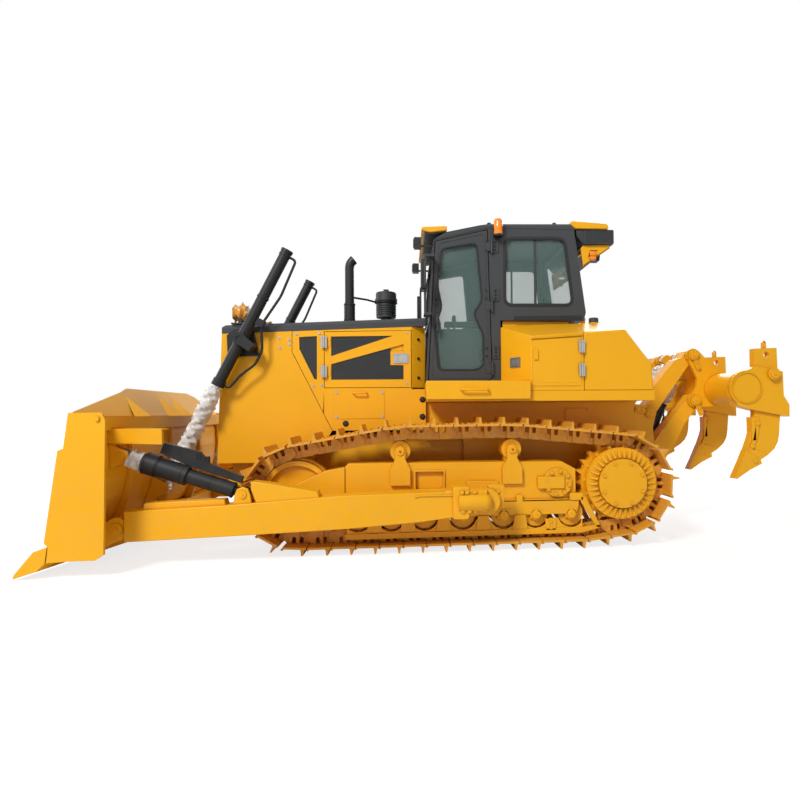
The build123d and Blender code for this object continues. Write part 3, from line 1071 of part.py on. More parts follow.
# ---------------------------------------------------------------- fenders, boxes and tank
FENDER_TOP = 1502
with BuildPart() as fenders:
    for side in (-1, 1):
        low, high = sorted((side * (HULL_HALF - 160), side * FENDER_OUT))
        block(-2038, 170, low, high, DECK_Z, DECK_Z + 14)
        outside = sorted((side * (HOOD_HALF + 20), side * FENDER_OUT))
        block(165, 194, *outside, DECK_Z, DECK_Z + 14)
        edge_low, edge_high = sorted((side * (FENDER_OUT - 16), side * FENDER_OUT))
        block(-2038, 194, edge_low, edge_high, DECK_Z, FENDER_TOP)
        block(180, 194, *outside, DECK_Z, FENDER_TOP)
        block(-2038, -2024, low, high, DECK_Z, FENDER_TOP)
        for x in (-1950, -1100, -300):
            block(x, x + 14, low, high, DECK_Z, FENDER_TOP - 20)
        # tread plate in front of the door, with its grab bar
        block(-500, 205, *sorted((side * (CAB_HALF + 30), side * FENDER_OUT)), FENDER_TOP, FENDER_TOP + 14)
        low, high = sorted((side * (FENDER_OUT + 30), side * (FENDER_OUT + 52)))
        block(-400, -110, low, high, 1490, 1512)
        for x in (-400, -132):
            inner, outer = sorted((side * (FENDER_OUT - 5), side * (FENDER_OUT + 52)))
            block(x, x + 22, inner, outer, 1490, 1512)
save(fenders.part, "fenders")

BOX_FRONT, BOX_SPLIT, BOX_REAR = -504, -802, -1328
BOX_LOW = FENDER_TOP + SEAT
BOX_TOP = 2165
BOX_HINGE = (BOX_REAR + 20, FENDER_OUT + 12)
BOX_HINGES = (1660, 2020)
with BuildPart() as front_boxes:
    for side in (-1, 1):
        low, high = sorted((side * (CAB_HALF + 6), side * FENDER_OUT))
        slab([(BOX_FRONT, BOX_LOW), (BOX_FRONT, 2029), (BOX_FRONT - 60, BOX_TOP), (BOX_REAR, BOX_TOP + 70),
              (BOX_REAR, BOX_LOW)], low, high)
        low, high = sorted((side * (CAB_HALF + 26), side * (FENDER_OUT - WALL)))
        slab([(BOX_SPLIT - 20, BOX_LOW + 15), (BOX_SPLIT - 20, BOX_TOP - 10), (BOX_REAR + 15, BOX_TOP + 40),
              (BOX_REAR + 15, BOX_LOW + 15)], low, high, Mode.SUBTRACT)
        low, high = sorted((side * (FENDER_OUT - WALL - 1), side * (FENDER_OUT + 1)))
        slab([(BOX_SPLIT, BOX_LOW + 40), (BOX_SPLIT, BOX_TOP - 26), (BOX_REAR + 24, BOX_TOP + 20),
              (BOX_REAR + 24, BOX_LOW + 40)], low, high, Mode.SUBTRACT)
    frame_knuckles(*BOX_HINGE, 10, BOX_HINGES, 80, BOX_REAR + 2, FENDER_OUT - 1, 7)
    # low deck between the boxes under the cab's rear
    block(-1310, -600, -(CAB_HALF - 40), CAB_HALF - 40, FENDER_TOP, CAB_STEP - SEAT)
    block(-1290, -620, -(CAB_HALF - 60), CAB_HALF - 60, FENDER_TOP, CAB_STEP - 30, Mode.SUBTRACT)
save(front_boxes.part, "deck_boxes")

with BuildPart() as box_door:
    slab([(BOX_SPLIT - 6, BOX_LOW + 46), (BOX_SPLIT - 6, BOX_TOP - 33), (BOX_REAR + 30, BOX_TOP + 13),
          (BOX_REAR + 30, BOX_LOW + 46)], FENDER_OUT - WALL, FENDER_OUT)
    door_knuckles(*BOX_HINGE, 10, BOX_HINGES, 80, BOX_HINGE[0] + 60, FENDER_OUT, 6)
    block(BOX_SPLIT - 60, BOX_SPLIT - 20, FENDER_OUT, FENDER_OUT + 14, 1800, 1900)
handed(box_door.part, "box_door")

with BuildPart() as tank:
    slab([(BOX_REAR - 4, BOX_LOW), (BOX_REAR - 4, 2242), (-1383, 2263), (-1554, 2184), (-1629, 2170), (-1751, 2095),
          (-1926, 1869), (-2010, 1771), (-2026, BOX_LOW)], -FENDER_OUT, FENDER_OUT)
    with BuildSketch(Plane.XY.offset(2180)) as cap:
        with Locations((-1603, 700)):
            Circle(62)
    extrude(cap.sketch, amount=143)
    slab([(BOX_REAR - 4, CAB_STEP - SEAT), (-1500, CAB_STEP - SEAT), (-1500, 2400), (BOX_REAR, 2400)],
         -CAB_HALF - 10, CAB_HALF + 10, Mode.SUBTRACT)
save(tank.part, "fuel_tank")

# ---------------------------------------------------------------- beacon, work lamps, rails
with BuildPart() as beacon:
    for radius, z_low, z_high in ((40, roof_top(-634) + SEAT, 3292), (48, 3292, 3374)):
        upright(-594, 500, radius, z_low, z_high)
save(beacon.part, "beacon")

FRONT_LAMP_Y = 560
REAR_LAMP_Y = 470
with BuildPart() as lamps:
    for side in (-1, 1):
        low, high = sorted((side * 480, side * 600))
        block(2000, 2170, low, high, hood_line(2000) - 1, HOOD_TOP_FRONT + 26)
        block(2060, 2100, low, high, HOOD_TOP_FRONT + 26, HOOD_TOP_FRONT + 60)
        block(2010, 2150, low, high, HOOD_TOP_FRONT + 60, HOOD_TOP_FRONT + 190)
        block(2150, 2160, min(low, high) + 10, max(low, high) - 10, HOOD_TOP_FRONT + 70, HOOD_TOP_FRONT + 180)
        middle = side * FRONT_LAMP_Y
        block(236, 310, middle - 55, middle + 55, 3025, 3130)
        block(front_x(3040) + SEAT, 260, middle - 12, middle + 12, 3040, 3058)
        middle = side * REAR_LAMP_Y
        block(-1700, -1620, middle - 60, middle + 60, 2935, 3060)
        block(-1650, -1630, middle - 12, middle + 12, 3055, AIR_UNIT_Z - SEAT)
save(lamps.part, "lamps")

with BuildPart() as rails:
    for side in (-1, 1):
        low, high = sorted((side * 890, side * 914))
        block(196, 220, low, high, 2270, 2880)
        for z in (2270, 2856):
            inner, outer = sorted((side * CAB_HALF, side * 914))
            block(front_x(z) - 14, 220, inner, outer, z, z + 24)
        low, high = sorted((side * 905, side * 1010))
        block(214, 244, low, high, 2520, 2800)
save(rails.part, "grab_rails")
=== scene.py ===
# %% [markdown]
# # A crawler bulldozer with a ripper
# The machine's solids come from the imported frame: tracks, blade, cab, ripper and every door, each already
# on the body that moves it. This lesson gives them their finishes and adds what is too small or too soft
# for the solids: fasteners, track links, seals, lines, lamps' lenses, mesh and the driver's cushions. Where
# a solid is plainer than the real part, a fuller form stands for it. All places are in metres in the
# frame's own axes: +X to the blade, +Y to the machine's left, +Z up.

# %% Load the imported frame
import json
import math
import random

import bmesh
import bpy
from mathutils import Matrix, Vector
from mathutils.geometry import tessellate_polygon


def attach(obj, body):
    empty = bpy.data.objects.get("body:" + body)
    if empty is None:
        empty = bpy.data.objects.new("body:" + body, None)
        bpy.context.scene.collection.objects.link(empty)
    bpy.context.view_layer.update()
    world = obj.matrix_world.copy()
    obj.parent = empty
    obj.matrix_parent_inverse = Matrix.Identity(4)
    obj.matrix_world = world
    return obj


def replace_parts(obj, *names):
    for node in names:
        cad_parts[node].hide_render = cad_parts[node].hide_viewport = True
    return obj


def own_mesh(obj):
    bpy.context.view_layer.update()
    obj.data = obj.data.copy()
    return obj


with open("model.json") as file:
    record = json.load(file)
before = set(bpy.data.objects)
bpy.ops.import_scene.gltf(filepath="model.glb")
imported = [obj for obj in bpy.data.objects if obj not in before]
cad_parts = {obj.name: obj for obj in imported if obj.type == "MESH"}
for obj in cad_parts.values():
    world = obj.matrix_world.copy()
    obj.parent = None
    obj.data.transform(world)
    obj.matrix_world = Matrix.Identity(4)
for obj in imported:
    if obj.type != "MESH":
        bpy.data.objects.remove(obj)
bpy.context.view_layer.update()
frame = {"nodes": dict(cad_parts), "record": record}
nodes = frame["nodes"]

# %% [markdown]
# ## Shader sums in plain Python
# A finish on the real machine varies: paint is duller where dust lies, steel is bright where it rubs. Each
# variation is a small sum of noise and position. Drawing such sums as node graphs is slow to read, so one
# class wraps a socket and lets Python's own operators add the Math nodes. A second class holds one material
# and makes every other kind of node through a single method.


# %% Wire and Finish
class Wire:
    """A value socket that can be added, subtracted, multiplied and divided like a number."""

    def __init__(self, tree, socket):
        self.tree, self.socket = tree, socket

    def _math(self, operation, *terms, clamp=False):
        node = self.tree.nodes.new("ShaderNodeMath")
        node.operation, node.use_clamp = operation, clamp
        for slot, term in zip(node.inputs, terms):
            connect(self.tree, slot, term)
        return Wire(self.tree, node.outputs[0])

    def __add__(self, other):
        return self._math("ADD", self, other)

    def __sub__(self, other):
        return self._math("SUBTRACT", self, other)

    def __rsub__(self, other):
        return self._math("SUBTRACT", other, self)

    def __mul__(self, other):
        return self._math("MULTIPLY", self, other)

    def __truediv__(self, other):
        return self._math("DIVIDE", self, other)

    def clamped(self):
        return self._math("ADD", self, 0.0, clamp=True)

    def ramp(self, low, high):
        """0 below low, 1 above high and a straight slope between them."""
        return ((self - low) / (high - low)).clamped()

    __radd__, __rmul__ = __add__, __mul__


def connect(tree, slot, term):
    """Link a Wire to a socket, or set the socket to a plain value."""
    if isinstance(term, Wire):
        tree.links.new(term.socket, slot)
    else:
        slot.default_value = term


def linear(red, green, blue):
    """An sRGB colour, 0 to 255, as the linear colour that shaders work in."""
    parts = [c / 255 for c in (red, green, blue)]
    return tuple(c / 12.92 if c <= 0.04045 else ((c + 0.055) / 1.055) ** 2.4 for c in parts) + (1.0,)


class Finish:
    """One material, its Principled shader and a method that makes any other node."""

    def __init__(self, name, **constants):
        self.material = bpy.data.materials.new(name)
        self.material.use_nodes = True
        self.tree = self.material.node_tree
        self.shader = self.tree.nodes["Principled BSDF"]
        for socket, value in constants.items():
            self.shader.inputs[socket.replace("_", " ")].default_value = value
        self.place = self.node("ShaderNodeTexCoord", output="Object")

    def node(self, kind, settings=None, sockets=None, output=0):
        """Make a node, set its settings, fill its sockets and return one output as a Wire."""
        node = self.tree.nodes.new(kind)
        for key, value in (settings or {}).items():
            setattr(node, key, value)
        for key, value in (sockets or {}).items():
            connect(self.tree, node.inputs[key], value)
        return Wire(self.tree, node.outputs[output])

    def feed(self, socket, wire):
        connect(self.tree, self.shader.inputs[socket], wire)
        return self

    def noise(self, scale, detail=3.0, roughness=0.55, stretch=None):
        """Noise around 0.5, its scale in cells a metre, stretched along the axes where asked."""
        place = self.place
        if stretch:
            place = self.node("ShaderNodeMapping", sockets={"Vector": place, "Scale": stretch})
        return self.node("ShaderNodeTexNoise", sockets={"Vector": place, "Scale": scale, "Detail": detail,
                                                        "Roughness": roughness})

    def blend(self, factor, first, second):
        """A colour between two others. Input sockets 6 and 7 of Mix are its colours, output 2 its result."""
        return self.node("ShaderNodeMix", {"data_type": "RGBA"}, {0: factor, 6: first, 7: second}, output=2)

    def height(self):
        """Height above the ground in metres."""
        return self.node("ShaderNodeSeparateXYZ", sockets={0: self.place}, output=2)

    def bump(self, height, strength, distance, under=None):
        """Raise the surface by a height map. Another bump's result can lie under it."""
        sockets = {"Height": height, "Strength": strength, "Distance": distance}
        if under:
            sockets["Normal"] = under
        return self.node("ShaderNodeBump", sockets=sockets)


# %% [markdown]
# ## Machine paint
# The body is sprayed with one coat of warm yellow over thick plate. From close up it shows fine orange
# peel, and a flat panel never reflects quite flat. A thin film of dust settles low down. The colour only
# drifts a little between panels, so the noise is very large and weak; the peel is very fine and only bends
# the surface normal. Corners and crevices get painted shade: ambient occlusion darkens their base colour.


# %% Paint finishes
def paint(name, colour, roughness, dust=0.2, coat=0.08):
    """Sprayed enamel: slow colour drift, dust low down, painted crevice shade, orange peel, slightly wavy
    plate.
    """
    finish = Finish(name, Specular_IOR_Level=0.3, Coat_Roughness=0.18)
    drift = finish.noise(1.3, 2.0)
    grime = finish.noise(9.0, 5.0, 0.65)
    low = 1.0 - finish.height().ramp(0.0, 1.5)
    film = (grime.ramp(0.42, 0.75) * (0.25 + low * 0.75) * dust).clamped()
    deep = tuple(c * 0.86 for c in colour[:3]) + (1.0,)
    dry = tuple(0.55 * c + 0.45 * g for c, g in zip(colour[:3], (0.42, 0.36, 0.27))) + (1.0,)
    base = finish.blend(drift.ramp(0.3, 0.75) * 0.5, colour, deep)
    # painted shade: ambient occlusion darkens the base colour in crevices and corners
    crevice_shade = 1.0 - finish.node("ShaderNodeAmbientOcclusion", {"samples": 6}, {"Distance": 0.035},
                               "AO").ramp(0.25, 0.8)
    shade = tuple(c * k for c, k in zip(colour[:3], (0.30, 0.20, 0.16))) + (1.0,)
    finish.feed("Base Color", finish.blend((crevice_shade * 0.75).clamped(), finish.blend(film, base, dry), shade))
    finish.feed("Roughness", (grime * 0.12 + film * 0.35 + (roughness - 0.06)).clamped())
    finish.feed("Coat Weight", ((1.0 - film) * coat).clamped())
    wavy = finish.bump(finish.noise(3.0, 1.0), 0.12, 0.01)
    finish.feed("Normal", finish.bump(finish.noise(420.0, 2.0), 0.10, 0.001, under=wavy))
    return finish.material


YELLOW = paint("machine_yellow", linear(248, 178, 16), 0.42)
CHARCOAL = paint("charcoal_paint", linear(62, 64, 66), 0.42, dust=0.12)
BLACK = paint("black_paint", linear(26, 26, 27), 0.5, dust=0.10, coat=0.1)
SILVER = paint("plated_steel", linear(190, 190, 188), 0.3, dust=0.05)
SILVER.node_tree.nodes["Principled BSDF"].inputs["Metallic"].default_value = 0.8
print("paints made")

# %% [markdown]
# ## Bare and worn metal
# Three metals show. Track shoes are painted yellow at the works, but walking soon scrapes them, so steel
# shows through in stretched noise, under a film of earth. Cylinder rods are hard chrome: nearly a mirror,
# with faint turning marks round them. Castings behind the grille are dull and dark. Turning and casting
# differ only in numbers, so they share one function.


# %% Metal finishes
def scraped_paint(name, colour):
    """Yellow paint with steel showing in scratches and earth film over both."""
    finish = Finish(name)
    scratches = finish.noise(26.0, 6.0, 0.7, stretch=(1.0, 0.25, 1.0))
    bare = scratches.ramp(0.60, 0.70)
    film = finish.noise(7.0, 5.0, 0.6).ramp(0.45, 0.8) * 0.45
    painted = finish.blend(film, colour, (0.30, 0.22, 0.12, 1.0))
    finish.feed("Base Color", finish.blend(bare, painted, (0.42, 0.40, 0.38, 1.0)))
    finish.feed("Metallic", bare * 0.8)
    finish.feed("Roughness", (0.46 + film * 0.4 - bare * 0.12).clamped())
    finish.feed("Normal", finish.bump(scratches, 0.2, 0.002))
    return finish.material


def turned_metal(name, colour, roughness, metallic=1.0):
    """Metal with faint streaks from turning or rolling."""
    finish = Finish(name, Metallic=metallic)
    streaks = finish.noise(60.0, 3.0, 0.5, stretch=(8.0, 0.6, 8.0))
    worn = tuple(c * 0.8 for c in colour[:3]) + (1.0,)
    finish.feed("Base Color", finish.blend(streaks.ramp(0.35, 0.7), colour, worn))
    finish.feed("Roughness", (streaks * 0.12 + roughness).clamped())
    finish.feed("Normal", finish.bump(streaks, 0.05, 0.001))
    return finish.material


TRACK = scraped_paint("track_paint", linear(228, 160, 40))
CHROME = turned_metal("hard_chrome", linear(205, 207, 210), 0.06)
CASTING = turned_metal("dark_casting", linear(58, 56, 54), 0.6, metallic=0.2)

# %% [markdown]
# ## Glass, lenses, rubber, plastic and cloth
# The cab's panes are a few millimetres of faintly green glass. A thin pane needs no refraction, and the
# world should show through it, so a low Alpha lets most light pass while the gloss still mirrors the hall.
# Rubber and moulded plastic differ mostly in gloss and grain, so one function makes both, and the lenses
# too.


# %% Glass, rubber and plastic
def pane_glass(name, tint):
    """A clear, thin pane: transparent face on, mirror-like at a glancing angle."""
    finish = Finish(name, Metallic=0.0, IOR=1.5)
    smear = finish.noise(2.5, 3.0)
    finish.shader.inputs["Base Color"].default_value = tint
    finish.feed("Alpha", (smear * 0.06 + 0.22).clamped())
    finish.feed("Roughness", (smear * 0.05 + 0.01).clamped())
    return finish.material


def moulded(name, colour, roughness, grain=300.0, depth=0.25):
    """Plastic or rubber with a fine grain."""
    finish = Finish(name)
    cells = finish.noise(grain, 2.0)
    patch = finish.noise(6.0, 4.0)
    faded = tuple(c * 1.5 + 0.01 for c in colour[:3]) + (1.0,)
    finish.feed("Base Color", finish.blend(patch.ramp(0.4, 0.8) * 0.4, colour, faded))
    finish.feed("Roughness", (patch * 0.15 + roughness - 0.07).clamped())
    finish.feed("Normal", finish.bump(cells, depth, 0.001))
    return finish.material


GLASS = pane_glass("window_pane", linear(120, 150, 145))
RUBBER = moulded("black_rubber", linear(20, 20, 21), 0.65)
PLASTIC = moulded("grey_plastic", linear(46, 47, 49), 0.5)
TRIM = moulded("black_trim", linear(14, 14, 15), 0.4, depth=0.1)
AMBER = moulded("amber_lens", linear(250, 140, 20), 0.15, grain=90.0, depth=0.1)

# %% [markdown]
# ## Finishes on the frame's own solids
# Most solids already have their final shape, so they only change material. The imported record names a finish
# slot for each node; the table below turns a slot into one of the materials above.

# %% Dress the frame's nodes
def dress(node, material):
    """Give one of the frame's solids its only material."""
    materials = nodes[node].data.materials
    materials.clear()
    materials.append(material)


FINISHES = {
    "yellow_paint": YELLOW,
    "dark_paint": CHARCOAL,
    "black_plastic": PLASTIC,
    "track_steel": TRACK,
    "window_glass": GLASS,
    "seat_cloth": TRIM,
    "amber_lens": AMBER,
    "lamp_housing": TRIM,
    "chrome_rod": CHROME,
    "core_metal": CASTING,
}
for part in frame["record"]["subparts"]:
    dress(part["node"], FINISHES[part["material_slot"]])
print("finishes on", len(nodes), "nodes")

# %% [markdown]
# ## A small workshop of shapes
# Plates, bars, drums and tubes come up again and again, so each gets a short function that adds its faces
# to one bmesh. A finished bmesh becomes an object at the origin, with its place in its mesh, and rides on a
# body of the frame. Edges are broken by a fine bevel where light should catch them.


# %% Shape functions
SIDES = (1, -1)                    # left, right
HANDS = ((1, "left"), (-1, "right"))
AXES = {"x": (1, 2, 0), "y": (0, 2, 1), "z": (0, 1, 2)}     # the outline's two axes, then its depth


def laid(bm, outline, depth, across):
    """New vertices for an outline in the plane that is left when one axis is taken away, at one depth."""
    order = AXES[across]
    return [bm.verts.new([(a, b, depth)[order.index(axis)] for axis in range(3)]) for a, b in outline]


def skin(bm, loops, caps=True):
    """Faces from each loop of vertices to the next, then over both ends or back to the first loop."""
    faces = [bm.faces.new(loops[0]), bm.faces.new(loops[-1])] if caps else []
    for loop, after in zip(loops, loops[1:] if caps else loops[1:] + loops[:1]):
        for k in range(len(loop)):
            m = (k + 1) % len(loop)
            faces.append(bm.faces.new((loop[k], loop[m], after[m], after[k])))
    bmesh.ops.recalc_face_normals(bm, faces=faces)


def span(side, near, far):
    """Two distances from the middle plane as Y values on one side, the lower first."""
    return sorted((side * near, side * far))


def oblong(x0, y0, x1, y1):
    """The four corners of a rectangle."""
    return [(x0, y0), (x1, y0), (x1, y1), (x0, y1)]


def circle(centre, radius, count):
    """Points round a circle, from its right."""
    return [(centre[0] + radius * math.cos(a), centre[1] + radius * math.sin(a))
            for a in (2 * math.pi * k / count for k in range(count))]


def drum(bm, start, end, radius, sides=24, end_radius=None):
    """A round bar or a cone from one point to another."""
    start, end = Vector(start), Vector(end)
    axis = end - start
    turn = axis.to_track_quat("Z", "Y").to_matrix().to_4x4()
    place = Matrix.Translation((start + end) / 2) @ turn
    return bmesh.ops.create_cone(bm, cap_ends=True, segments=sides, radius1=radius, depth=axis.length,
                                 radius2=radius if end_radius is None else end_radius, matrix=place)["verts"]


def plate(bm, outline, low, high, across="y"):
    """A flat plate between two depths."""
    under, over = (laid(bm, outline, depth, across) for depth in (low, high))
    faces = [bm.faces.new(under[::-1]), bm.faces.new(over)]
    for i in range(len(outline)):
        j = (i + 1) % len(outline)
        faces.append(bm.faces.new((under[i], under[j], over[j], over[i])))
    bmesh.ops.recalc_face_normals(bm, faces=faces)
    return under + over


def box(bm, low, high):
    """A plain block between two corners."""
    (x0, y0, z0), (x1, y1, z1) = low, high
    return plate(bm, oblong(x0, y0, x1, y1), z0, z1, across="z")


def side_box(bm, side, low, high):
    """A block whose Y values are given for the left side."""
    near, far = span(side, low[1], high[1])
    return box(bm, (low[0], near, low[2]), (high[0], far, high[2]))


def tube(bm, points, radius, sides=12):
    """A round tube through points, with flat ends."""
    points = [Vector(p) for p in points]
    rings, up = [], Vector((0.13, 0.29, 0.95))
    for i, p in enumerate(points):
        along = (points[min(i + 1, len(points) - 1)] - points[max(i - 1, 0)]).normalized()
        side = along.cross(up).normalized()
        other = along.cross(side)
        up = side.cross(along)
        rings.append([bm.verts.new(p + radius * (math.cos(a) * side + math.sin(a) * other))
                      for a in (2 * math.pi * k / sides for k in range(sides))])
    skin(bm, rings)


def rounded(outline, radius, steps=4):
    """The same outline with its corners rounded by arcs of up to the given radius."""
    result = []
    count = len(outline)
    for i, corner in enumerate(outline):
        p, before, after = (Vector(q) for q in (corner, outline[i - 1], outline[(i + 1) % count]))
        reach = min(radius, (before - p).length * 0.45, (after - p).length * 0.45)
        a, b = p + (before - p).normalized() * reach, p + (after - p).normalized() * reach
        for k in range(steps + 1):
            t = k / steps
            result.append(tuple((1 - t) ** 2 * a + 2 * t * (1 - t) * p + t * t * b))
    return result


def inset(outline, amount):
    """The outline moved inward by an amount (outward where it is negative), whichever way it runs."""
    count = len(outline)
    area = sum(a[0] * b[1] - b[0] * a[1] for a, b in zip(outline, outline[1:] + outline[:1]))
    sign = 1 if area > 0 else -1
    result = []
    for i in range(count):
        p, q, r = (Vector(outline[k % count]) for k in (i - 1, i, i + 1))
        n0, n1 = ((Vector((-(b - a).y, (b - a).x)).normalized() * sign) for a, b in ((p, q), (q, r)))
        shift = (n0 + n1) / max(0.2, 1 + n0.dot(n1))
        result.append(tuple(q + shift * amount))
    return result


def band(bm, outline, inner, low, high, across="y"):
    """A closed frame between an outline and a smaller one with as many corners."""
    rings = ((outline, low), (outline, high), (inner, high), (inner, low))
    skin(bm, [laid(bm, ring, depth, across) for ring, depth in rings], caps=False)


def finished(name, bm, material, body="root", bevel=0.0, smooth=False):
    """Turn a bmesh into a piece of the machine that rides on a body."""
    mesh = bpy.data.meshes.new(name)
    bm.to_mesh(mesh)
    bm.free()
    return placed(name, mesh, material, body, bevel, smooth)


def placed(name, mesh, material, body="root", bevel=0.0, smooth=False):
    """Give a mesh its object, material, fine bevel and body."""
    mesh.materials.clear()
    mesh.materials.append(material)
    thing = bpy.data.objects.new(name, mesh)
    bpy.context.scene.collection.objects.link(thing)
    if bevel:
        edge = thing.modifiers.new("broken_edges", "BEVEL")
        edge.width, edge.segments, edge.limit_method = bevel, 2, "ANGLE"
    if smooth or bevel:
        mesh.shade_smooth()
        mesh.set_sharp_from_angle(angle=math.radians(35))
    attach(thing, body)
    return thing


# %% [markdown]
# ## Geometry Nodes for what repeats
# The machine has hundreds of screws and dozens of track links. One node tree takes a mesh whose vertices
# are places, each with an `aim` vector, and stands a copy of a small part on every one. The tree realizes
# the copies, sets their material and is then turned into plain mesh, because an exported file keeps no
# instances.


# %% The repeating tree
class Recipe:
    """A Geometry Nodes tree with named inputs."""

    def __init__(self, name):
        self.tree = bpy.data.node_groups.new(name, "GeometryNodeTree")
        face = self.tree.interface
        face.new_socket("Geometry", in_out="INPUT", socket_type="NodeSocketGeometry")
        face.new_socket("Geometry", in_out="OUTPUT", socket_type="NodeSocketGeometry")
        self.start = self.tree.nodes.new("NodeGroupInput")
        self.end = self.tree.nodes.new("NodeGroupOutput")
        self.identifiers = {}

    def ask(self, name, kind, default=None):
        """Add a named input and return it as a Wire."""
        socket = self.tree.interface.new_socket(name, in_out="INPUT", socket_type=kind)
        if default is not None:
            socket.default_value = default
        self.identifiers[name] = socket.identifier
        return Wire(self.tree, self.start.outputs[name])

    def node(self, kind, settings=None, sockets=None, output=0):
        node = self.tree.nodes.new(kind)
        for key, value in (settings or {}).items():
            setattr(node, key, value)
        for key, value in (sockets or {}).items():
            connect(self.tree, node.inputs[key], value)
        return Wire(self.tree, node.outputs[output])

    def close(self, wire):
        self.tree.links.new(wire.socket, self.end.inputs[0])


def stand_copies():
    """The tree that stands a realized copy of a part on every vertex, along its aim."""
    recipe = Recipe("stand_copies")
    part = recipe.ask("Part", "NodeSocketObject")
    size = recipe.ask("Size", "NodeSocketFloat", 1.0)
    material = recipe.ask("Material", "NodeSocketMaterial")
    shape = recipe.node("GeometryNodeObjectInfo", sockets={"Object": part}, output="Geometry")
    aim = recipe.node("GeometryNodeInputNamedAttribute", {"data_type": "FLOAT_VECTOR"}, {"Name": "aim"})
    spin = recipe.node("GeometryNodeInputNamedAttribute", {"data_type": "FLOAT_VECTOR"}, {"Name": "spin"})
    stood = recipe.node("FunctionNodeAlignRotationToVector", {"axis": "Z"}, {"Vector": aim})
    faced = recipe.node("FunctionNodeAlignRotationToVector", {"axis": "X", "pivot_axis": "Z"},
                        {"Rotation": stood, "Vector": spin})
    here = Wire(recipe.tree, recipe.start.outputs["Geometry"])
    copies = recipe.node("GeometryNodeInstanceOnPoints",
                         sockets={"Points": here, "Instance": shape, "Rotation": faced, "Scale": size})
    solid = recipe.node("GeometryNodeRealizeInstances", sockets={0: copies})
    recipe.close(recipe.node("GeometryNodeSetMaterial", sockets={"Geometry": solid, "Material": material}))
    return recipe


COPIES = stand_copies()


def copied(name, part_mesh, places, material, body="root", size=1.0, smooth=False):
    """Stand a part on each (point, aim, spin) and return the joined mesh as a piece of the machine."""
    spots = bpy.data.meshes.new(name + "_places")
    spots.from_pydata([p[0] for p in places], [], [])
    for key, column in (("aim", 1), ("spin", 2)):
        attribute = spots.attributes.new(key, "FLOAT_VECTOR", "POINT")
        attribute.data.foreach_set("vector", [c for p in places for c in p[column]])
    pattern = bpy.data.objects.new(name + "_part", part_mesh)
    carrier = bpy.data.objects.new(name + "_carrier", spots)
    for thing in (pattern, carrier):
        bpy.context.scene.collection.objects.link(thing)
    grower = carrier.modifiers.new("copies", "NODES")
    grower.node_group = COPIES.tree
    for key, value in (("Part", pattern), ("Size", size), ("Material", material)):
        grower[COPIES.identifiers[key]] = value
    bpy.context.view_layer.update()
    result = carrier.evaluated_get(bpy.context.evaluated_depsgraph_get())
    mesh = bpy.data.meshes.new_from_object(result)
    mesh.name = name
    for thing in (carrier, pattern):
        bpy.data.objects.remove(thing)
    return placed(name, mesh, material, body, smooth=smooth)


def part_mesh(build):
    """The mesh of a small part, drawn round the origin and standing on +Z."""
    bm = bmesh.new()
    build(bm)
    mesh = bpy.data.meshes.new("part")
    bm.to_mesh(mesh)
    bm.free()
    return mesh


def screw_shape(bm):
    """A hexagon head of unit radius on a washer."""
    drum(bm, (0, 0, 0), (0, 0, 0.18), 1.35, 14)
    drum(bm, (0, 0, 0.18), (0, 0, 0.8), 1.0, 6)


SCREW = part_mesh(screw_shape)


def screws(name, spots, radius, material=None, body="root"):
    """Hexagon screws at (point, aim) pairs."""
    places = [(p, aim, (aim[1] + 0.01, aim[2], aim[0])) for p, aim in spots]
    return copied(name, SCREW, places, material or YELLOW, body, size=radius)


# %% [markdown]
# ## The track chains
# A track is a roller chain with a shoe bolted on every link. Each link has two forged sides that are
# cranked, so the front of one lies outside the rear of the next, and a pin goes through both. A chain
# wrapped round rollers is a belt round circles: straight runs and arcs, on which the pins stand a pitch
# apart. So the pins are found first, then one detailed link is stood between every pair of them, and the
# result replaces the plain loop.

# %% The pin line
PITCH = 0.216
TRACK_Y = 1.0                               # the track's centre plane
SPROCKET = (-1.680, 0.600)
IDLER = (1.430, 0.530)
FIRST_ROLLER = (-1.290, 0.316)
CARRIERS = ((0.460, 0.931), (-0.611, 0.939))
ROLLERS_X = (0.857, 0.545, 0.232, -0.130, -0.522, -0.838, -1.183)
SPROCKET_PINS = PITCH / (2 * math.sin(2 * math.pi / 23))
ROUNDS = [(*FIRST_ROLLER, 0.167), (*IDLER, math.hypot(0.3783, PITCH / 2)),
          (*CARRIERS[0], 0.164), (*CARRIERS[1], 0.164), (*SPROCKET, SPROCKET_PINS)]


def belt_pieces(rounds):
    """The straight runs and arcs of a belt round circles, each as a length and a function of distance."""
    normals = []
    for (x0, z0, r0), (x1, z1, r1) in zip(rounds, rounds[1:] + rounds[:1]):
        span = math.hypot(x1 - x0, z1 - z0)
        normals.append(math.atan2(z1 - z0, x1 - x0) - math.acos((r0 - r1) / span))
    pieces = []
    for i, (x, z, r) in enumerate(rounds):
        x1, z1, r1 = rounds[(i + 1) % len(rounds)]
        start, end = normals[i - 1], normals[i]
        a = Vector((x + r * math.cos(end), z + r * math.sin(end)))
        b = Vector((x1 + r1 * math.cos(end), z1 + r1 * math.sin(end)))
        pieces.append(((end - start) % (2 * math.pi) * r,
                       lambda d, x=x, z=z, r=r, s=start: Vector((x + r * math.cos(s + d / r),
                                                                 z + r * math.sin(s + d / r)))))
        pieces.append(((b - a).length, lambda d, a=a, b=b: a + (b - a).normalized() * d))
    return pieces


BELT = belt_pieces(ROUNDS)
BELT_LENGTH = sum(length for length, _ in BELT)
SHOES = round(BELT_LENGTH / PITCH)


def belt_point(distance):
    for length, spot in BELT:
        if distance <= length:
            return spot(distance)
        distance -= length
    return BELT[0][1](distance)


pins = [belt_point(BELT_LENGTH * i / SHOES) for i in range(SHOES)]
print("track:", SHOES, "shoes on a line of", round(BELT_LENGTH, 3), "m")


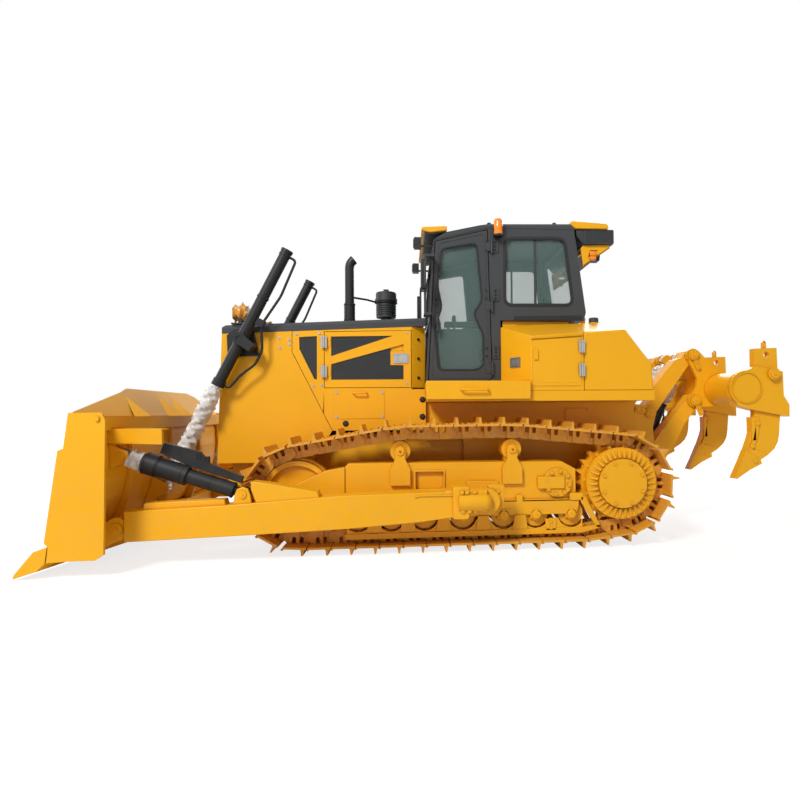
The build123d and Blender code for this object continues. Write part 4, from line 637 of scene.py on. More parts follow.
# %% [markdown]
# ## One link with its shoe
# A link is a pair of forged sides round a pin, and the plate bolted on it, the shoe, has one tall bar that
# bites the ground. It could be carved from a block, but all of it is profiles with a width, so outlines
# drawn along the track and given a thickness come closest with the fewest points. Each shoe takes eight
# screws.

# %% One link with its shoe
SHOE_HALF = 0.28


def link_shape(bm):
    """Shoe, cranked sides and pin. X runs along the track, Z out of it."""
    half = PITCH / 2
    shoe = [(-half + 0.002, 0.064), (half - 0.004, 0.064), (half - 0.003, 0.086), (half + 0.012, 0.087),
            (half + 0.012, 0.094), (half - 0.008, 0.097), (half - 0.020, 0.084), (-0.052, 0.084),
            (-0.060, 0.094), (-0.067, 0.149), (-0.079, 0.149), (-0.088, 0.098), (-0.094, 0.086),
            (-half + 0.004, 0.084)]
    plate(bm, shoe, -SHOE_HALF, SHOE_HALF)
    side = [(-0.016, -0.054), (0.076, -0.056), (0.124, -0.040), (0.146, -0.016), (0.146, 0.014),
            (0.126, 0.038), (0.098, 0.062), (0.052, 0.062), (0.050, 0.014), (0.034, 0.002), (0.016, 0.012),
            (0.012, 0.062), (-0.016, 0.062)]
    for sign in (1, -1):
        for turn, near, far in ((1, 0.080, 0.103), (-1, 0.055, 0.079)):
            low, high = sorted((sign * near, sign * far))
            plate(bm, [(turn * x, z) for x, z in side], low, high)
        drum(bm, (half, sign * 0.100, 0), (half, sign * 0.107, 0), 0.032, 14)
        drum(bm, (-0.040, sign * 0.078, -0.014), (-0.040, sign * 0.084, -0.014), 0.022, 10)
    drum(bm, (half, -0.111, 0), (half, 0.111, 0), 0.019, 12)


def link_places(side):
    """A place for each link, with the way out of the track and the way along it."""
    places = []
    for p, q in zip(pins, pins[1:] + pins[:1]):
        along = (q - p).normalized()
        middle = (p + q) / 2
        places.append(((middle.x, side * TRACK_Y, middle.y), (along.y, 0, -along.x), (along.x, 0, along.y)))
    return places


LINK = part_mesh(link_shape)
for side, name in HANDS:
    chain = copied("track_chain_" + name, LINK, link_places(side), TRACK)
    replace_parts(chain, "track_" + name)
    shoe_screws = []
    for (x, y, z), (out_x, _, out_z), (along_x, _, along_z) in link_places(side):
        for along in (-0.010, 0.058):
            for across in (-0.17, -0.08, 0.08, 0.17):
                spot = (x + along * along_x + 0.084 * out_x, y + across, z + along * along_z + 0.084 * out_z)
                shoe_screws.append((spot, (out_x, 0.0, out_z)))
    screws("shoe_screws_" + name, shoe_screws, 0.014, TRACK)
print("chains stand for the plain loops")

# %% [markdown]
# ## Final drive, rollers and track frame
# The sprocket is bolted round a wide hub whose rim is stiffened by short ribs, one beside the other, and
# its cover is held by a ring of screws. The rollers' ends are closed by caps. A circle of like pieces is a
# list of places worked out from an angle, which then goes through the same repeating tree.


# %% Hubs and caps
def ring_places(centre, radius, count, y, side, start=0.0):
    """Places round a circle that faces sideways, each aimed outward and spun to the centre."""
    places = []
    for k in range(count):
        angle = start + 2 * math.pi * k / count
        away = (math.cos(angle), 0.0, math.sin(angle))
        places.append(((centre[0] + radius * away[0], side * y, centre[1] + radius * away[2]),
                       (0.0, float(side), 0.0), away))
    return places


def rib_shape(bm):
    """A tapered rib, radial along X."""
    verts = plate(bm, [(-0.040, -0.011), (0.044, -0.016), (0.044, 0.016), (-0.040, 0.011)], -0.002, 0.020,
                  across="z")
    for v in verts:
        if v.co.z > 0 and v.co.x > 0:
            v.co.z = 0.008
            v.co.y *= 0.6


def cap_shape(bm):
    """A unit cap with a rounded rim and a centre plug."""
    drum(bm, (0, 0, 0), (0, 0, 0.34), 1.0, 28)
    drum(bm, (0, 0, 0.34), (0, 0, 0.46), 1.0, 28, end_radius=0.86)
    drum(bm, (0, 0, 0.46), (0, 0, 0.60), 0.2, 8)


RIB, CAP = part_mesh(rib_shape), part_mesh(cap_shape)
HUB_FACE = 1.185
HUB_RIBS = 34
PIVOT = (-1.056, 0.612)
places, bolts, caps = [], [], []
for side in SIDES:
    places += ring_places(SPROCKET, 0.288, HUB_RIBS, HUB_FACE, side)
    bolts += ring_places(SPROCKET, 0.205, 8, HUB_FACE + 0.045, side, 0.39)
    bolts += ring_places(SPROCKET, 0.352, 16, 1.13, side, 0.1)
    bolts += ring_places(PIVOT, 0.112, 8, TRACK_Y + 0.166, side, 0.2)
    caps += [((x, side * 1.146, 0.316), (0.0, float(side), 0.0), (1.0, 0.0, 0.0)) for x in ROLLERS_X]
copied("hub_ribs", RIB, places, YELLOW)
screws("drive_screws", [(p, aim) for p, aim, _ in bolts], 0.016)
copied("roller_caps", CAP, caps, YELLOW, size=0.042)
print(len(places), "ribs,", len(bolts), "screws,", len(caps), "roller caps")

# %% [markdown]
# ## Sheet metal with openings
# Many panels are flat sheets with holes, so one function fills a flat outline round its openings and gives
# it thickness. The machine is alike on both sides. A form is therefore drawn on the left and mirrored.



# %% Sheets, slanting cuts and mirrored forms
def sheet(bm, outline, holes, low, high, across="y"):
    """A flat plate with openings in it."""
    loops = [list(outline), *map(list, holes)]
    rings = [laid(bm, [p for loop in loops for p in loop], depth, across) for depth in (low, high)]
    faces = []
    for corners in tessellate_polygon([[Vector((a, b, 0.0)) for a, b in loop] for loop in loops]):
        if len(set(corners)) == 3:
            faces += [bm.faces.new([ring[i] for i in corners]) for ring in rings]
    first = 0
    for loop in loops:
        for k in range(len(loop)):
            i, j = first + k, first + (k + 1) % len(loop)
            faces.append(bm.faces.new((rings[0][i], rings[0][j], rings[1][j], rings[1][i])))
        first += len(loop)
    bmesh.ops.recalc_face_normals(bm, faces=faces)


def cut_above(bm, point, normal):
    """Take away what lies beyond a plane and close the cut."""
    found = bmesh.ops.bisect_plane(bm, geom=bm.verts[:] + bm.edges[:] + bm.faces[:], plane_co=point,
                                   plane_no=normal, clear_outer=True)
    rim = [e for e in found["geom_cut"] if isinstance(e, bmesh.types.BMEdge)]
    bmesh.ops.edgeloop_fill(bm, edges=rim)


def mirrored(bm):
    """Add the same form on the machine's right."""
    twin = bmesh.ops.duplicate(bm, geom=bm.verts[:] + bm.edges[:] + bm.faces[:])["geom"]
    for v in twin:
        if isinstance(v, bmesh.types.BMVert):
            v.co.y = -v.co.y
    bmesh.ops.reverse_faces(bm, faces=[f for f in twin if isinstance(f, bmesh.types.BMFace)])


def handle(bm, start, end, out, radius):
    """A bar that stands off between two feet."""
    start, end, out = Vector(start), Vector(end), Vector(out)
    run = (end - start).normalized() * out.length
    points = [start, start + out * 0.55, start + out * 0.88 + run * 0.12, start + out + run * 0.45,
              end + out - run * 0.45, end + out * 0.88 - run * 0.12, end + out * 0.55, end]
    tube(bm, points, radius)


def turned(bm, centre, profile, sides=40):
    """A profile of (radius, z) pairs turned round the upright line through a centre, closed at both ends."""
    rings = [laid(bm, circle(centre, r, sides), z, "z") for r, z in profile]
    skin(bm, rings)


def arc(centre, radius, start, end, steps=12):
    """Points on an arc between two angles in degrees."""
    angles = [math.radians(start + (end - start) * k / steps) for k in range(steps + 1)]
    return [(centre[0] + radius * math.cos(a), centre[1] + radius * math.sin(a)) for a in angles]


# %% [markdown]
# ## Hood sides
# A seam slants down from the radiator guard. Behind it stand a panel with a tall vent, the lower panel with
# its access cover, and a post that turns in towards the cab. Each is folded from one sheet, so each is one
# outline with a thickness; two small functions give the lines that neighbours share, the seam and the
# hood's top.

# %% Hood sides
HOOD_SIDE, SHEET = 0.620, 0.020         # the hood's outer face, and the thickness of its panels
UNDER_BAND = 0.0923                     # how far the panels end below the hood's top line
VENT = [(1.487, 2.078), (1.309, 2.088), (1.309, 1.645), (1.335, 1.645), (1.485, 1.955)]


def hood_line(x):
    """The height of the hood's top, which falls towards the radiator."""
    return 2.199 + (2.255 - x) / 2.056 * 0.088


def seam_x(z):
    """Where the slanting seam behind the radiator guard stands at a height."""
    return 1.157 + (z - 1.118) / 0.808 * 0.405


bm = bmesh.new()
sheet(bm, [(1.238, 1.300), (seam_x(1.300) - 0.006, 1.300), (1.556, 1.926),
           (1.556, hood_line(1.562) - UNDER_BAND), (1.238, hood_line(1.238) - UNDER_BAND)], [VENT],
      HOOD_SIDE - SHEET, HOOD_SIDE)
plate(bm, [(1.297, 1.632), (1.343, 1.632), (1.503, 1.950), (1.503, 2.092), (1.297, 2.100)], 0.594, 0.600)
plate(bm, [(0.197, 1.118), (seam_x(1.118) - 0.006, 1.118), (seam_x(1.310) - 0.006, 1.310), (1.248, 1.310),
           (1.238, 1.554), (0.197, 1.554)], HOOD_SIDE - SHEET, HOOD_SIDE)
plate(bm, rounded([(1.135, 1.524), (0.622, 1.529), (0.622, 1.240), (1.135, 1.238)], 0.015), 0.619, 0.625)
plate(bm, [(0.343, 0.620), (0.199, 0.530), (0.199, 0.510), (0.343, 0.600)], 1.553,
      hood_line(0.349) - UNDER_BAND, across="z")
plate(bm, [(0.343, 0.620), (0.199, 0.620), (0.199, 0.510)], 1.540, 1.554, across="z")
plate(bm, [(0.339, 2.154), (1.242, 2.136), (1.242, hood_line(1.232) - UNDER_BAND),
           (0.339, hood_line(0.349) - UNDER_BAND)], HOOD_SIDE - SHEET, HOOD_SIDE)
mirrored(bm)
box(bm, (0.199, -0.600, 1.118), (0.229, 0.600, 1.554))
box(bm, (0.199, -0.520, 1.553), (0.229, 0.520, 2.160))
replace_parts(finished("hood_panels", bm, YELLOW, bevel=0.0025), "hood_sides")
for side, hand in HANDS:
    bm = bmesh.new()
    plate(bm, oblong(0.383, 1.790, 0.560, 1.935),
          *span(side, 0.604, 0.6205))
    finished("latch_plate_" + hand, bm, YELLOW, "engine_door_" + hand, bevel=0.002)
bm = bmesh.new()
plate(bm, [(0.190, 1.010), (0.190, 1.4035), (-0.760, 1.4035), (-0.240, 1.010)], 0.530, 0.5605)
mirrored(bm)
box(bm, (-0.200, -0.530, 1.010), (0.190, 0.530, 1.030))
finished("hull_plates", bm, YELLOW, bevel=0.003)
print("hood sides")

# %% [markdown]
# ## Step boxes
# A step box lies outside each door. Its lid is a tread plate, rolled with rows of short bars that lean one
# way and then the other. A bump map would do from afar, but an exported mesh has only real bars, so a loop
# lays them.

# %% Step boxes
bm = bmesh.new()
box(bm, (-0.5037, 0.760, 1.583), (0.211, 1.1500, 1.596))
box(bm, (0.180, 0.762, 1.501), (0.2125, 1.1500, 1.582))
box(bm, (-0.790, 1.1503, 1.420), (0.212, 1.204, 1.597))
for x in (-0.520, 0.060):
    box(bm, (x, 0.560, 1.417), (x + 0.080, 0.660, 1.5837))
mirrored(bm)
finished("step_boxes", bm, YELLOW, bevel=0.006)
bm = bmesh.new()
for row in range(17):
    for column in range(9):
        x, y = -0.465 + row * 0.040, 0.795 + column * 0.040
        way = 1 if (row + column) % 2 else -1
        plate(bm, [(x - 0.013, y - way * 0.009), (x - 0.009, y - way * 0.013), (x + 0.013, y + way * 0.009),
                   (x + 0.009, y + way * 0.013)], 1.5955, 1.5985, across="z")
mirrored(bm)
finished("step_tread", bm, YELLOW)
bm = bmesh.new()
handle(bm, (-0.374, 1.200, 1.511), (-0.119, 1.200, 1.511), (0, 0.050, 0), 0.011)
mirrored(bm)
finished("step_bars", bm, YELLOW, smooth=True)

# %% [markdown]
# ## Deck boxes and tank
# Behind the step the deck box has a slanted nose and a lid that slopes down outward, and the same slope
# carries on over the fuel tank. Points for each slope would have to be kept in step by hand. So both forms
# are upright prisms, and one plane, given once, cuts them both.

# %% Deck boxes and tank
NOSE_IN, NOSE_OUT, BOX_REAR, BOX_TOP, FLOOR = -0.574, -0.806, -1.328, 2.205, 1.5023
BOX_IN, BOX_OUT = 0.736, 1.150
LID_POINT = (NOSE_OUT, BOX_OUT, 2.031)
LID_UP = (0.07, 0.38, 1.0)
HATCH = [(-0.812, 1.542), (-0.812, 1.996), (-1.304, 2.028), (-1.304, 1.542)]
DECK_PLAN = [(NOSE_IN, BOX_IN), (NOSE_OUT, BOX_OUT), (BOX_REAR, BOX_OUT), (BOX_REAR, BOX_IN)]
bm = bmesh.new()
plate(bm, DECK_PLAN, FLOOR, BOX_TOP, across="z")
cut_above(bm, LID_POINT, LID_UP)
box(bm, (BOX_REAR, BOX_IN, FLOOR), (-0.504, 1.1495, 1.597))
plate(bm, [(-0.800, 2.000), (-1.318, 2.036), (-1.318, 2.046), (-0.800, 2.010)], 1.150, 1.166)
mirrored(bm)
box(bm, (-1.310, -0.690, 1.502), (-0.600, 0.690, 2.2437))
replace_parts(finished("deck_box_forms", bm, YELLOW, bevel=0.006), "deck_boxes")

bm = bmesh.new()
plate(bm, [(-1.332, FLOOR), (-1.332, BOX_TOP), (-1.666, BOX_TOP), (-1.926, 1.869), (-2.010, 1.771),
           (-2.026, FLOOR)], 0.0, BOX_OUT)
cut_above(bm, LID_POINT, LID_UP)
mirrored(bm)
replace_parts(finished("tank_form", bm, YELLOW, bevel=0.010), "fuel_tank")
for side, hand in HANDS:
    bm = bmesh.new()
    leaf = inset(HATCH, 0.006)
    plate(bm, rounded(leaf, 0.012), *span(side, 1.1505, 1.1560))
    plate(bm, rounded(inset(leaf, 0.030), 0.02), *span(side, 1.1555, 1.1575))
    side_box(bm, side, (-0.872, 1.150, 1.800), (-0.832, 1.170, 1.900))
    door = "box_door_" + hand
    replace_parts(finished("box_door_leaf_" + hand, bm, YELLOW, door, bevel=0.002), door)
print("boxes and tank")

# %% [markdown]
# ## Filler neck, beacon and exhaust pipe
# Neck, cap and beacon are spun or moulded round an upright axis, so half a profile turned round it says all
# of them. The exhaust's end bends rearward like a crook, and a tube along an arc gives it an even wall.

# %% Filler neck, beacon and exhaust pipe
FILLER, BEACON, EXHAUST = (-1.560, 0.736), (-0.552, 0.784), (1.010, 0.250)      # their axes in plan
BEND_Z, BEND_RADIUS = 2.880, 0.110
bm = bmesh.new()
turned(bm, FILLER, [(0.060, 2.150), (0.060, 2.222), (0.040, 2.224)])
box(bm, (-1.480, 0.690, 2.150), (-1.430, 0.706, 2.262))
drum(bm, (-1.455, 0.680, 2.262), (-1.455, 0.716, 2.262), 0.026, 20)
finished("filler_neck", bm, YELLOW, bevel=0.003, smooth=True)
bm = bmesh.new()
turned(bm, FILLER, [(0.046, 2.220), (0.050, 2.224), (0.050, 2.266), (0.044, 2.274), (0.020, 2.280)], 28)
finished("filler_cap", bm, PLASTIC, smooth=True)
bm = bmesh.new()
turned(bm, BEACON, [(0.046, 3.120), (0.046, 3.150), (0.043, 3.153), (0.043, 3.172), (0.046, 3.175),
                             (0.045, 3.262), (0.036, 3.280), (0.012, 3.286)])
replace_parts(finished("beacon_lens", bm, AMBER, smooth=True), "beacon")
bm = bmesh.new()
turned(bm, BEACON, [(0.050, 3.098), (0.052, 3.103), (0.052, 3.120), (0.048, 3.124)])
box(bm, (-0.574, 0.7303, 3.103), (-0.530, 0.784, 3.120))
finished("beacon_foot", bm, TRIM, bevel=0.002, smooth=True)

bm = bmesh.new()
bend = [(EXHAUST[0] - BEND_RADIUS * (1 - math.cos(a)), EXHAUST[1], BEND_Z + BEND_RADIUS * math.sin(a))
        for a in (math.radians(6 * k) for k in range(10))]
tube(bm, [(*EXHAUST, 2.330), (*EXHAUST, 2.860), *bend], 0.049, 32)
mouth, before = Vector(bend[-1]), Vector(bend[-2])
out = (mouth - before).normalized()
tube(bm, [mouth - out * 0.02, mouth + out * 0.004], 0.0515, 32)
turned(bm, EXHAUST, [(0.0590, 2.220), (0.0590, 2.490)])
turned(bm, EXHAUST, [(0.090, 2.258), (0.090, 2.276)])
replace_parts(finished("exhaust_form", bm, BLACK, bevel=0.002, smooth=True), "exhaust_pipe")
bm = bmesh.new()
tube(bm, [mouth + out * 0.0045, mouth + out * 0.006], 0.044, 32)
finished("exhaust_mouth", bm, RUBBER)
print("neck, beacon and pipe")

# %% [markdown]
# ## Push arms
# Each arm hangs on a trunnion outside its track. A clamp, a domed cap and a flange close round the ball
# there, and a folded guard stands over the lugs of the tilt cylinder or brace. The arm is a welded box, so
# side outlines with a width give it, and neighbouring boxes end a few millimetres apart so that no two
# faces coincide.

# %% Push arms
ARM_IN, ARM_OUT, ARM_MID = 1.345, 1.540, 1.4425
ARM_SIDE = [(2.790, 0.215), (2.790, 0.475), (1.960, 0.509), (0.956, 0.574), (-0.060, 0.593), (-0.060, 0.369),
            (0.308, 0.326), (0.948, 0.282), (1.673, 0.253)]
for side, hand in HANDS:
    bm = bmesh.new()
    plate(bm, ARM_SIDE, ARM_IN, ARM_OUT)
    box(bm, (-0.120, ARM_IN + 0.002, 0.381), (0.060, ARM_OUT - 0.005, 0.601))
    box(bm, (-0.322, ARM_IN + 0.004, 0.381), (-0.100, 1.522, 0.611))
    drum(bm, (-0.322, ARM_IN, 0.496), (-0.322, 1.525, 0.496), 0.115, 40)
    box(bm, (-0.315, 1.480, 0.406), (-0.014, 1.556, 0.608))
    plate(bm, [(-0.151, 0.362), (-0.138, 0.350), (-0.022, 0.350), (-0.009, 0.362), (-0.009, 0.622),
               (-0.022, 0.635), (-0.138, 0.635), (-0.151, 0.622)], 1.365, 1.568)
    box(bm, (-0.480, 1.365, 0.424), (-0.340, 1.470, 0.638))
    plate(bm, [(2.657, 0.470), (2.643, 0.536), (1.978, 0.557), (1.963, 0.500)], 1.365, 1.495)
    plate(bm, [(2.780, 0.250), (2.780, 0.460), (2.854, 0.417), (2.854, 0.227)], ARM_MID - 0.050,
          ARM_MID + 0.050)
    drum(bm, (2.854, ARM_MID - 0.050, 0.322), (2.854, ARM_MID + 0.050, 0.322), 0.095, 32)
    for y in (ARM_MID - 0.070, ARM_MID + 0.0403):
        plate(bm, [(1.900, 0.505), (1.884, 0.599), (1.865, 0.645), (1.819, 0.664), (1.773, 0.645),
                   (1.754, 0.599), (1.740, 0.515)], y, y + 0.030)
    drum(bm, (1.819, ARM_MID - 0.070, 0.599), (1.819, ARM_MID + 0.070, 0.599), 0.030, 24)
    plate(bm, [(1.745, 0.710), (1.600, 0.690), (1.179, 0.611), (1.160, 0.555), (1.700, 0.520),
               (1.745, 0.640)], ARM_MID - 0.080, ARM_MID + 0.080)
    if side < 0:
        for v in bm.verts:
            v.co.y = -v.co.y
        bmesh.ops.reverse_faces(bm, faces=bm.faces[:])
    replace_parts(finished("arm_form_" + hand, bm, YELLOW, "blade", bevel=0.006), "push_arm_" + hand)
    # the cap is a sphere whose front half is drawn out flat
    bm = bmesh.new()
    sphere = bmesh.ops.create_uvsphere(bm, u_segments=36, v_segments=18, radius=0.078)
    for v in sphere["verts"]:
        v.co = Vector((-0.285 + v.co.z if v.co.z < 0 else -0.060, side * ARM_OUT + v.co.x, 0.496 + v.co.y))
    finished("trunnion_cap_" + hand, bm, YELLOW, "blade", smooth=True)
print("push arms")

# %% [markdown]
# ## Track frames
# The frame is a closed beam. Below it a guard runs between shoes and rollers, scalloped round each roller,
# and a rear deflector turns it up. The outer side carries the pivot shaft's cover with its key and the
# pocket over the track adjuster. A boolean cut per roller would be slow and fragile, so the guard's outline
# takes its dips from the rollers' places.

# %% Track frames
FRAME_Y, HALF, FRAME_REAR = 1.0, 0.130, -1.2377
ROLLER_Z, SCALLOP = 0.316, 0.135
GUARD_TOP = [(0.960, 0.275)]
for x in ROLLERS_X:
    dip = arc((x, ROLLER_Z), SCALLOP, 342.3, 197.7, 14)
    GUARD_TOP += [p for p in dip if -1.285 < p[0] < 0.955]
GUARD_TOP.append((-1.290, 0.275))
bm = bmesh.new()
POCKET = oblong(0.050, 0.568, 0.315, 0.734)
BEAM = [(FRAME_REAR, 0.500), (-1.120, 0.440), (1.040, 0.440), (1.060, 0.700), (0.950, 0.820), (-1.100, 0.815),
        (FRAME_REAR, 0.740)]
plate(bm, BEAM, FRAME_Y - HALF, FRAME_Y + 0.100)
sheet(bm, BEAM, [rounded(POCKET, 0.02)], FRAME_Y + 0.100, FRAME_Y + HALF)
for side in SIDES:
    plate(bm, [(0.980, 0.470), (1.430, 0.440), (1.520, 0.490), (1.520, 0.590), (1.430, 0.630), (1.150, 0.760),
               (0.980, 0.790)], *sorted((FRAME_Y + side * 0.116, FRAME_Y + side * 0.146)))
    low, high = sorted((FRAME_Y + side * 0.152, FRAME_Y + side * 0.168))
    plate(bm, [(-1.290, 0.130), (0.960, 0.130), *GUARD_TOP], low, high)
    low, high = sorted((FRAME_Y + side * 0.152, FRAME_Y + side * 0.178))
    plate(bm, [(-1.461, 0.171), (-1.285, 0.128), (0.970, 0.112), (0.980, 0.120), (0.980, 0.166),
               (-1.290, 0.182), (-1.461, 0.205)], low, high)
    plate(bm, [(-1.461, 0.171), (-1.461, 0.205), (-1.320, 0.475), (-1.275, 0.475), (-1.275, 0.425),
               (-1.425, 0.180)], low, high)
    near, far = sorted((FRAME_Y + side * 0.118, FRAME_Y + side * 0.178))
    box(bm, (-1.300, near, 0.442), (-1.170, far, 0.510))
    box(bm, (-1.030, low, 0.159), (-0.928, high, 0.268))
    inner, outer = sorted((FRAME_Y + side * (HALF - 0.012), FRAME_Y + side * 0.165))
    for x in (0.700, 0.050, -0.680):
        box(bm, (x - 0.030, inner, 0.200), (x + 0.030, outer, 0.500))
drum(bm, (1.430, FRAME_Y - 0.146, 0.530), (1.430, FRAME_Y + 0.146, 0.530), 0.046, 28)
box(bm, (-0.472, FRAME_Y + HALF, 0.441), (-0.172, FRAME_Y + HALF + 0.045, 0.640))
drum(bm, (-0.322, FRAME_Y + HALF + 0.045, 0.496), (-0.322, 1.500, 0.496), 0.075, 32)
drum(bm, (-1.056, FRAME_Y + HALF - 0.001, 0.612), (-1.056, FRAME_Y + HALF + 0.026, 0.612), 0.140, 48)
box(bm, (-1.118, FRAME_Y + HALF, 0.557), (-0.859, FRAME_Y + HALF + 0.044, 0.672))
band(bm, oblong(0.036, 0.552, 0.330, 0.750), POCKET, FRAME_Y + HALF - 0.001,
     FRAME_Y + HALF + 0.016)
for x, z in CARRIERS:
    box(bm, (x - 0.060, FRAME_Y - 0.080, 0.810), (x + 0.060, FRAME_Y + 0.080, z - 0.020))
mirrored(bm)
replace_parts(finished("track_frame_forms", bm, YELLOW, bevel=0.004), "track_frames")
print("track frames")

# %% [markdown]
# ## Lines on the lift cylinders
# Hard lines run from both ends of each barrel to a manifold on its rear. Their points are given along the
# barrel and across it, so they follow the cylinder wherever it leans, and their bends are eased as a pipe
# bender would.

# %% Hard lines
YOKE, LIFT_EYE, LIFT_Y = Vector((2.033, 2.037)), Vector((2.765, 0.580)), 0.735
DOWN = (LIFT_EYE - YOKE).normalized()
ACROSS = Vector((-DOWN.y, DOWN.x))


def beside(along, across, y):
    spot = YOKE + along * DOWN + across * ACROSS
    return Vector((spot.x, y, spot.y))


def eased(points, reach=0.035, steps=4):
    """The same route with its bends rounded."""
    route = [points[0]]
    for before, p, after in zip(points, points[1:], points[2:]):
        a, b = p + (before - p).normalized() * reach, p + (after - p).normalized() * reach
        route += [(1 - t) ** 2 * a + 2 * t * (1 - t) * p + t * t * b
                  for t in (k / steps for k in range(steps + 1))]
    return route + [points[-1]]


for side, hand in HANDS:
    y = side * LIFT_Y
    bm = bmesh.new()
    for route in (((-0.950, -0.050), (-0.950, -0.122), (-0.560, -0.150), (-0.225, -0.110)),
                  ((0.487, -0.060), (0.487, -0.112), (0.330, -0.150), (0.160, -0.232), (0.010, -0.232),
                   (-0.215, -0.110))):
        tube(bm, eased([beside(a, c, y) for a, c in route]), 0.013, 14)
    corners = [beside(a, c, 0) for a, c in ((-0.195, -0.050), (-0.195, -0.132), (-0.270, -0.132),
                                            (-0.270, -0.050))]
    plate(bm, [(p.x, p.z) for p in corners], y - 0.026, y + 0.026)
    for along in (-0.950, -0.470, 0.487):
        drum(bm, beside(along - 0.012, 0, y), beside(along + 0.012, 0, y), 0.0605, 32)
    finished("lift_lines_" + hand, bm, BLACK, "lift_barrel_" + hand, bevel=0.002, smooth=True)
for name in ("lift_barrel_left", "lift_barrel_right", "tilt_cylinder", "lift_yokes"):
    dress(name, BLACK)
print("lift lines")

# %% [markdown]
# ## Visors and the air conditioner
# Shallow sheet-metal visors lie over the windscreen and the rear pane; under the front one a dark sheet
# paints the shade beneath it. The air conditioner hangs under the rear one between two brackets. Its sides
# are perforated: bars that cross over a dark box read as holes and need no cutting. An amber lamp is fixed
# below each side.

# %% Visors and air conditioner
bm = bmesh.new()
plate(bm, [(0.150, 3.158), (0.212, 3.174), (0.238, 3.194), (0.226, 3.214), (-0.030, 3.228), (-0.030, 3.178)],
      -0.700, 0.700)
plate(bm, [(-1.330, 3.252), (-1.330, 3.292), (-1.352, 3.303), (-1.716, 3.282), (-1.742, 3.262),
           (-1.742, 3.226), (-1.380, 3.226)], -0.710, 0.710)
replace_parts(finished("visor_forms", bm, YELLOW, bevel=0.008), "cab_visors")
# a dark sheet under the front visor: painted shade on its underside
bm = bmesh.new()
plate(bm, [(-0.020, 3.179), (-0.020, 3.166), (0.140, 3.140), (0.196, 3.150), (0.206, 3.171), (0.150, 3.157)],
      -0.685, 0.685)
finished("visor_lining", bm, PLASTIC, bevel=0.004)
COOLER = [(-1.808, 3.072), (-1.480, 3.060), (-1.400, 3.150), (-1.400, 3.2255), (-1.808, 3.2255)]
bm = bmesh.new()
plate(bm, COOLER, -0.684, 0.684)
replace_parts(finished("cooler_box", bm, PLASTIC, bevel=0.010), "air_conditioner")
bm = bmesh.new()
for k in range(16):
    x = -1.795 + k * 0.0195
    box(bm, (x, 0.684, 3.084), (x + 0.007, 0.690, 3.214))
for k in range(7):
    z = 3.084 + k * 0.0195
    box(bm, (-1.795, 0.684, z), (-1.4955, 0.6885, z + 0.006))
rim = rounded([(-1.804, 3.076), (-1.484, 3.068), (-1.484, 3.222), (-1.804, 3.222)], 0.012)
band(bm, rim, inset(rim, 0.010), 0.682, 0.692)
mirrored(bm)
for k in range(9):
    z = 3.086 + k * 0.014
    box(bm, (-1.816, -0.560, z), (-1.806, -0.060, z + 0.007))
    box(bm, (-1.816, 0.060, z), (-1.806, 0.560, z + 0.007))
finished("cooler_grille", bm, CHARCOAL)
bm = bmesh.new()
BRACKET = [(-1.770, 3.071), (-1.770, 3.036), (-1.480, 2.836), (-1.455, 3.030), (-1.480, 3.060)]
sheet(bm, BRACKET, [[(-1.640, 3.010), (-1.560, 3.010), (-1.530, 2.930)]], 0.640, 0.656)
plate(bm, [(-1.770, 3.036), (-1.480, 2.836), (-1.480, 2.852), (-1.770, 3.052)], 0.610, 0.656)
mirrored(bm)
box(bm, (-1.500, -0.650, 2.985), (-1.470, 0.650, 3.030))
finished("cooler_brackets", bm, YELLOW, bevel=0.003)
bm = bmesh.new()
for low, high in ((2.900, 2.940), (2.943, 2.995)):
    box(bm, (-1.612, 0.660, low), (-1.548, 0.694, high))
mirrored(bm)
finished("marker_lamps", bm, AMBER, bevel=0.009)
print("visors and cooler")

# %% [markdown]
# ## Screens, latches and covers on the hood
# The engine doors breathe through woven screens, and each is shut by a flush latch. A screen is drawn as
# wires: for each level across the opening, the crossings with the outline come in pairs, and a flat wire
# runs between each pair, first one way and then the other. A dark sheet behind it hides the door's own
# plate and paints the shade of the space behind the opening.

# %% Screens
SCREENS = {         # outlines of the openings, x and z
    "door_upper": [(0.534, 2.095), (1.165, 2.085), (1.165, 1.882)],
    "door_lower": [(0.560, 1.969), (1.165, 1.800), (1.165, 1.640), (0.426, 1.642), (0.426, 1.788),
                   (0.560, 1.788)],
    "vent": VENT,
}


def crossings(outline, level, axis):
    """Where a line at one level crosses an outline, in order."""
    hits = []
    for a, b in zip(outline, outline[1:] + outline[:1]):
        if (a[axis] - level) * (b[axis] - level) < 0:
            share = (level - a[axis]) / (b[axis] - a[axis])
            hits.append(a[1 - axis] + share * (b[1 - axis] - a[1 - axis]))
    return sorted(hits)


def screen(bm, outline, y, out, pitch=0.018, wire=0.0032):
    """Flat wires both ways across an outline, the level ones on top."""
    for axis in (0, 1):
        levels = [p[axis] for p in outline]
        near = y + out * wire * axis
        for i in range(int((max(levels) - min(levels)) / pitch)):
            level = min(levels) + (i + 0.5) * pitch
            hits = crossings(outline, level, axis)
            for start, end in zip(hits[::2], hits[1::2]):
                ends = [(start, level - wire), (end, level + wire)]
                (x0, z0), (x1, z1) = [p[::-1] for p in ends] if axis == 0 else ends
                box(bm, (x0, min(near, near + out * wire), z0), (x1, max(near, near + out * wire), z1))


def hood_screen(name, keys, side, body):
    bm = bmesh.new()
    for key in keys:
        outline = inset(SCREENS[key], 0.001)
        # a dark sheet behind the wires: painted shade for the space behind the opening
        plate(bm, outline, *span(side, HOOD_SIDE - 0.0195, HOOD_SIDE - 0.016))
        screen(bm, outline, side * (HOOD_SIDE - 0.014), side)
    return finished(name, bm, PLASTIC, body)


for side, hand in HANDS:
    hood_screen("door_screens_" + hand, ("door_upper", "door_lower"), side, "engine_door_" + hand)
    hood_screen("vent_screen_" + hand, ("vent",), side, "root")
print("screens on the hood")


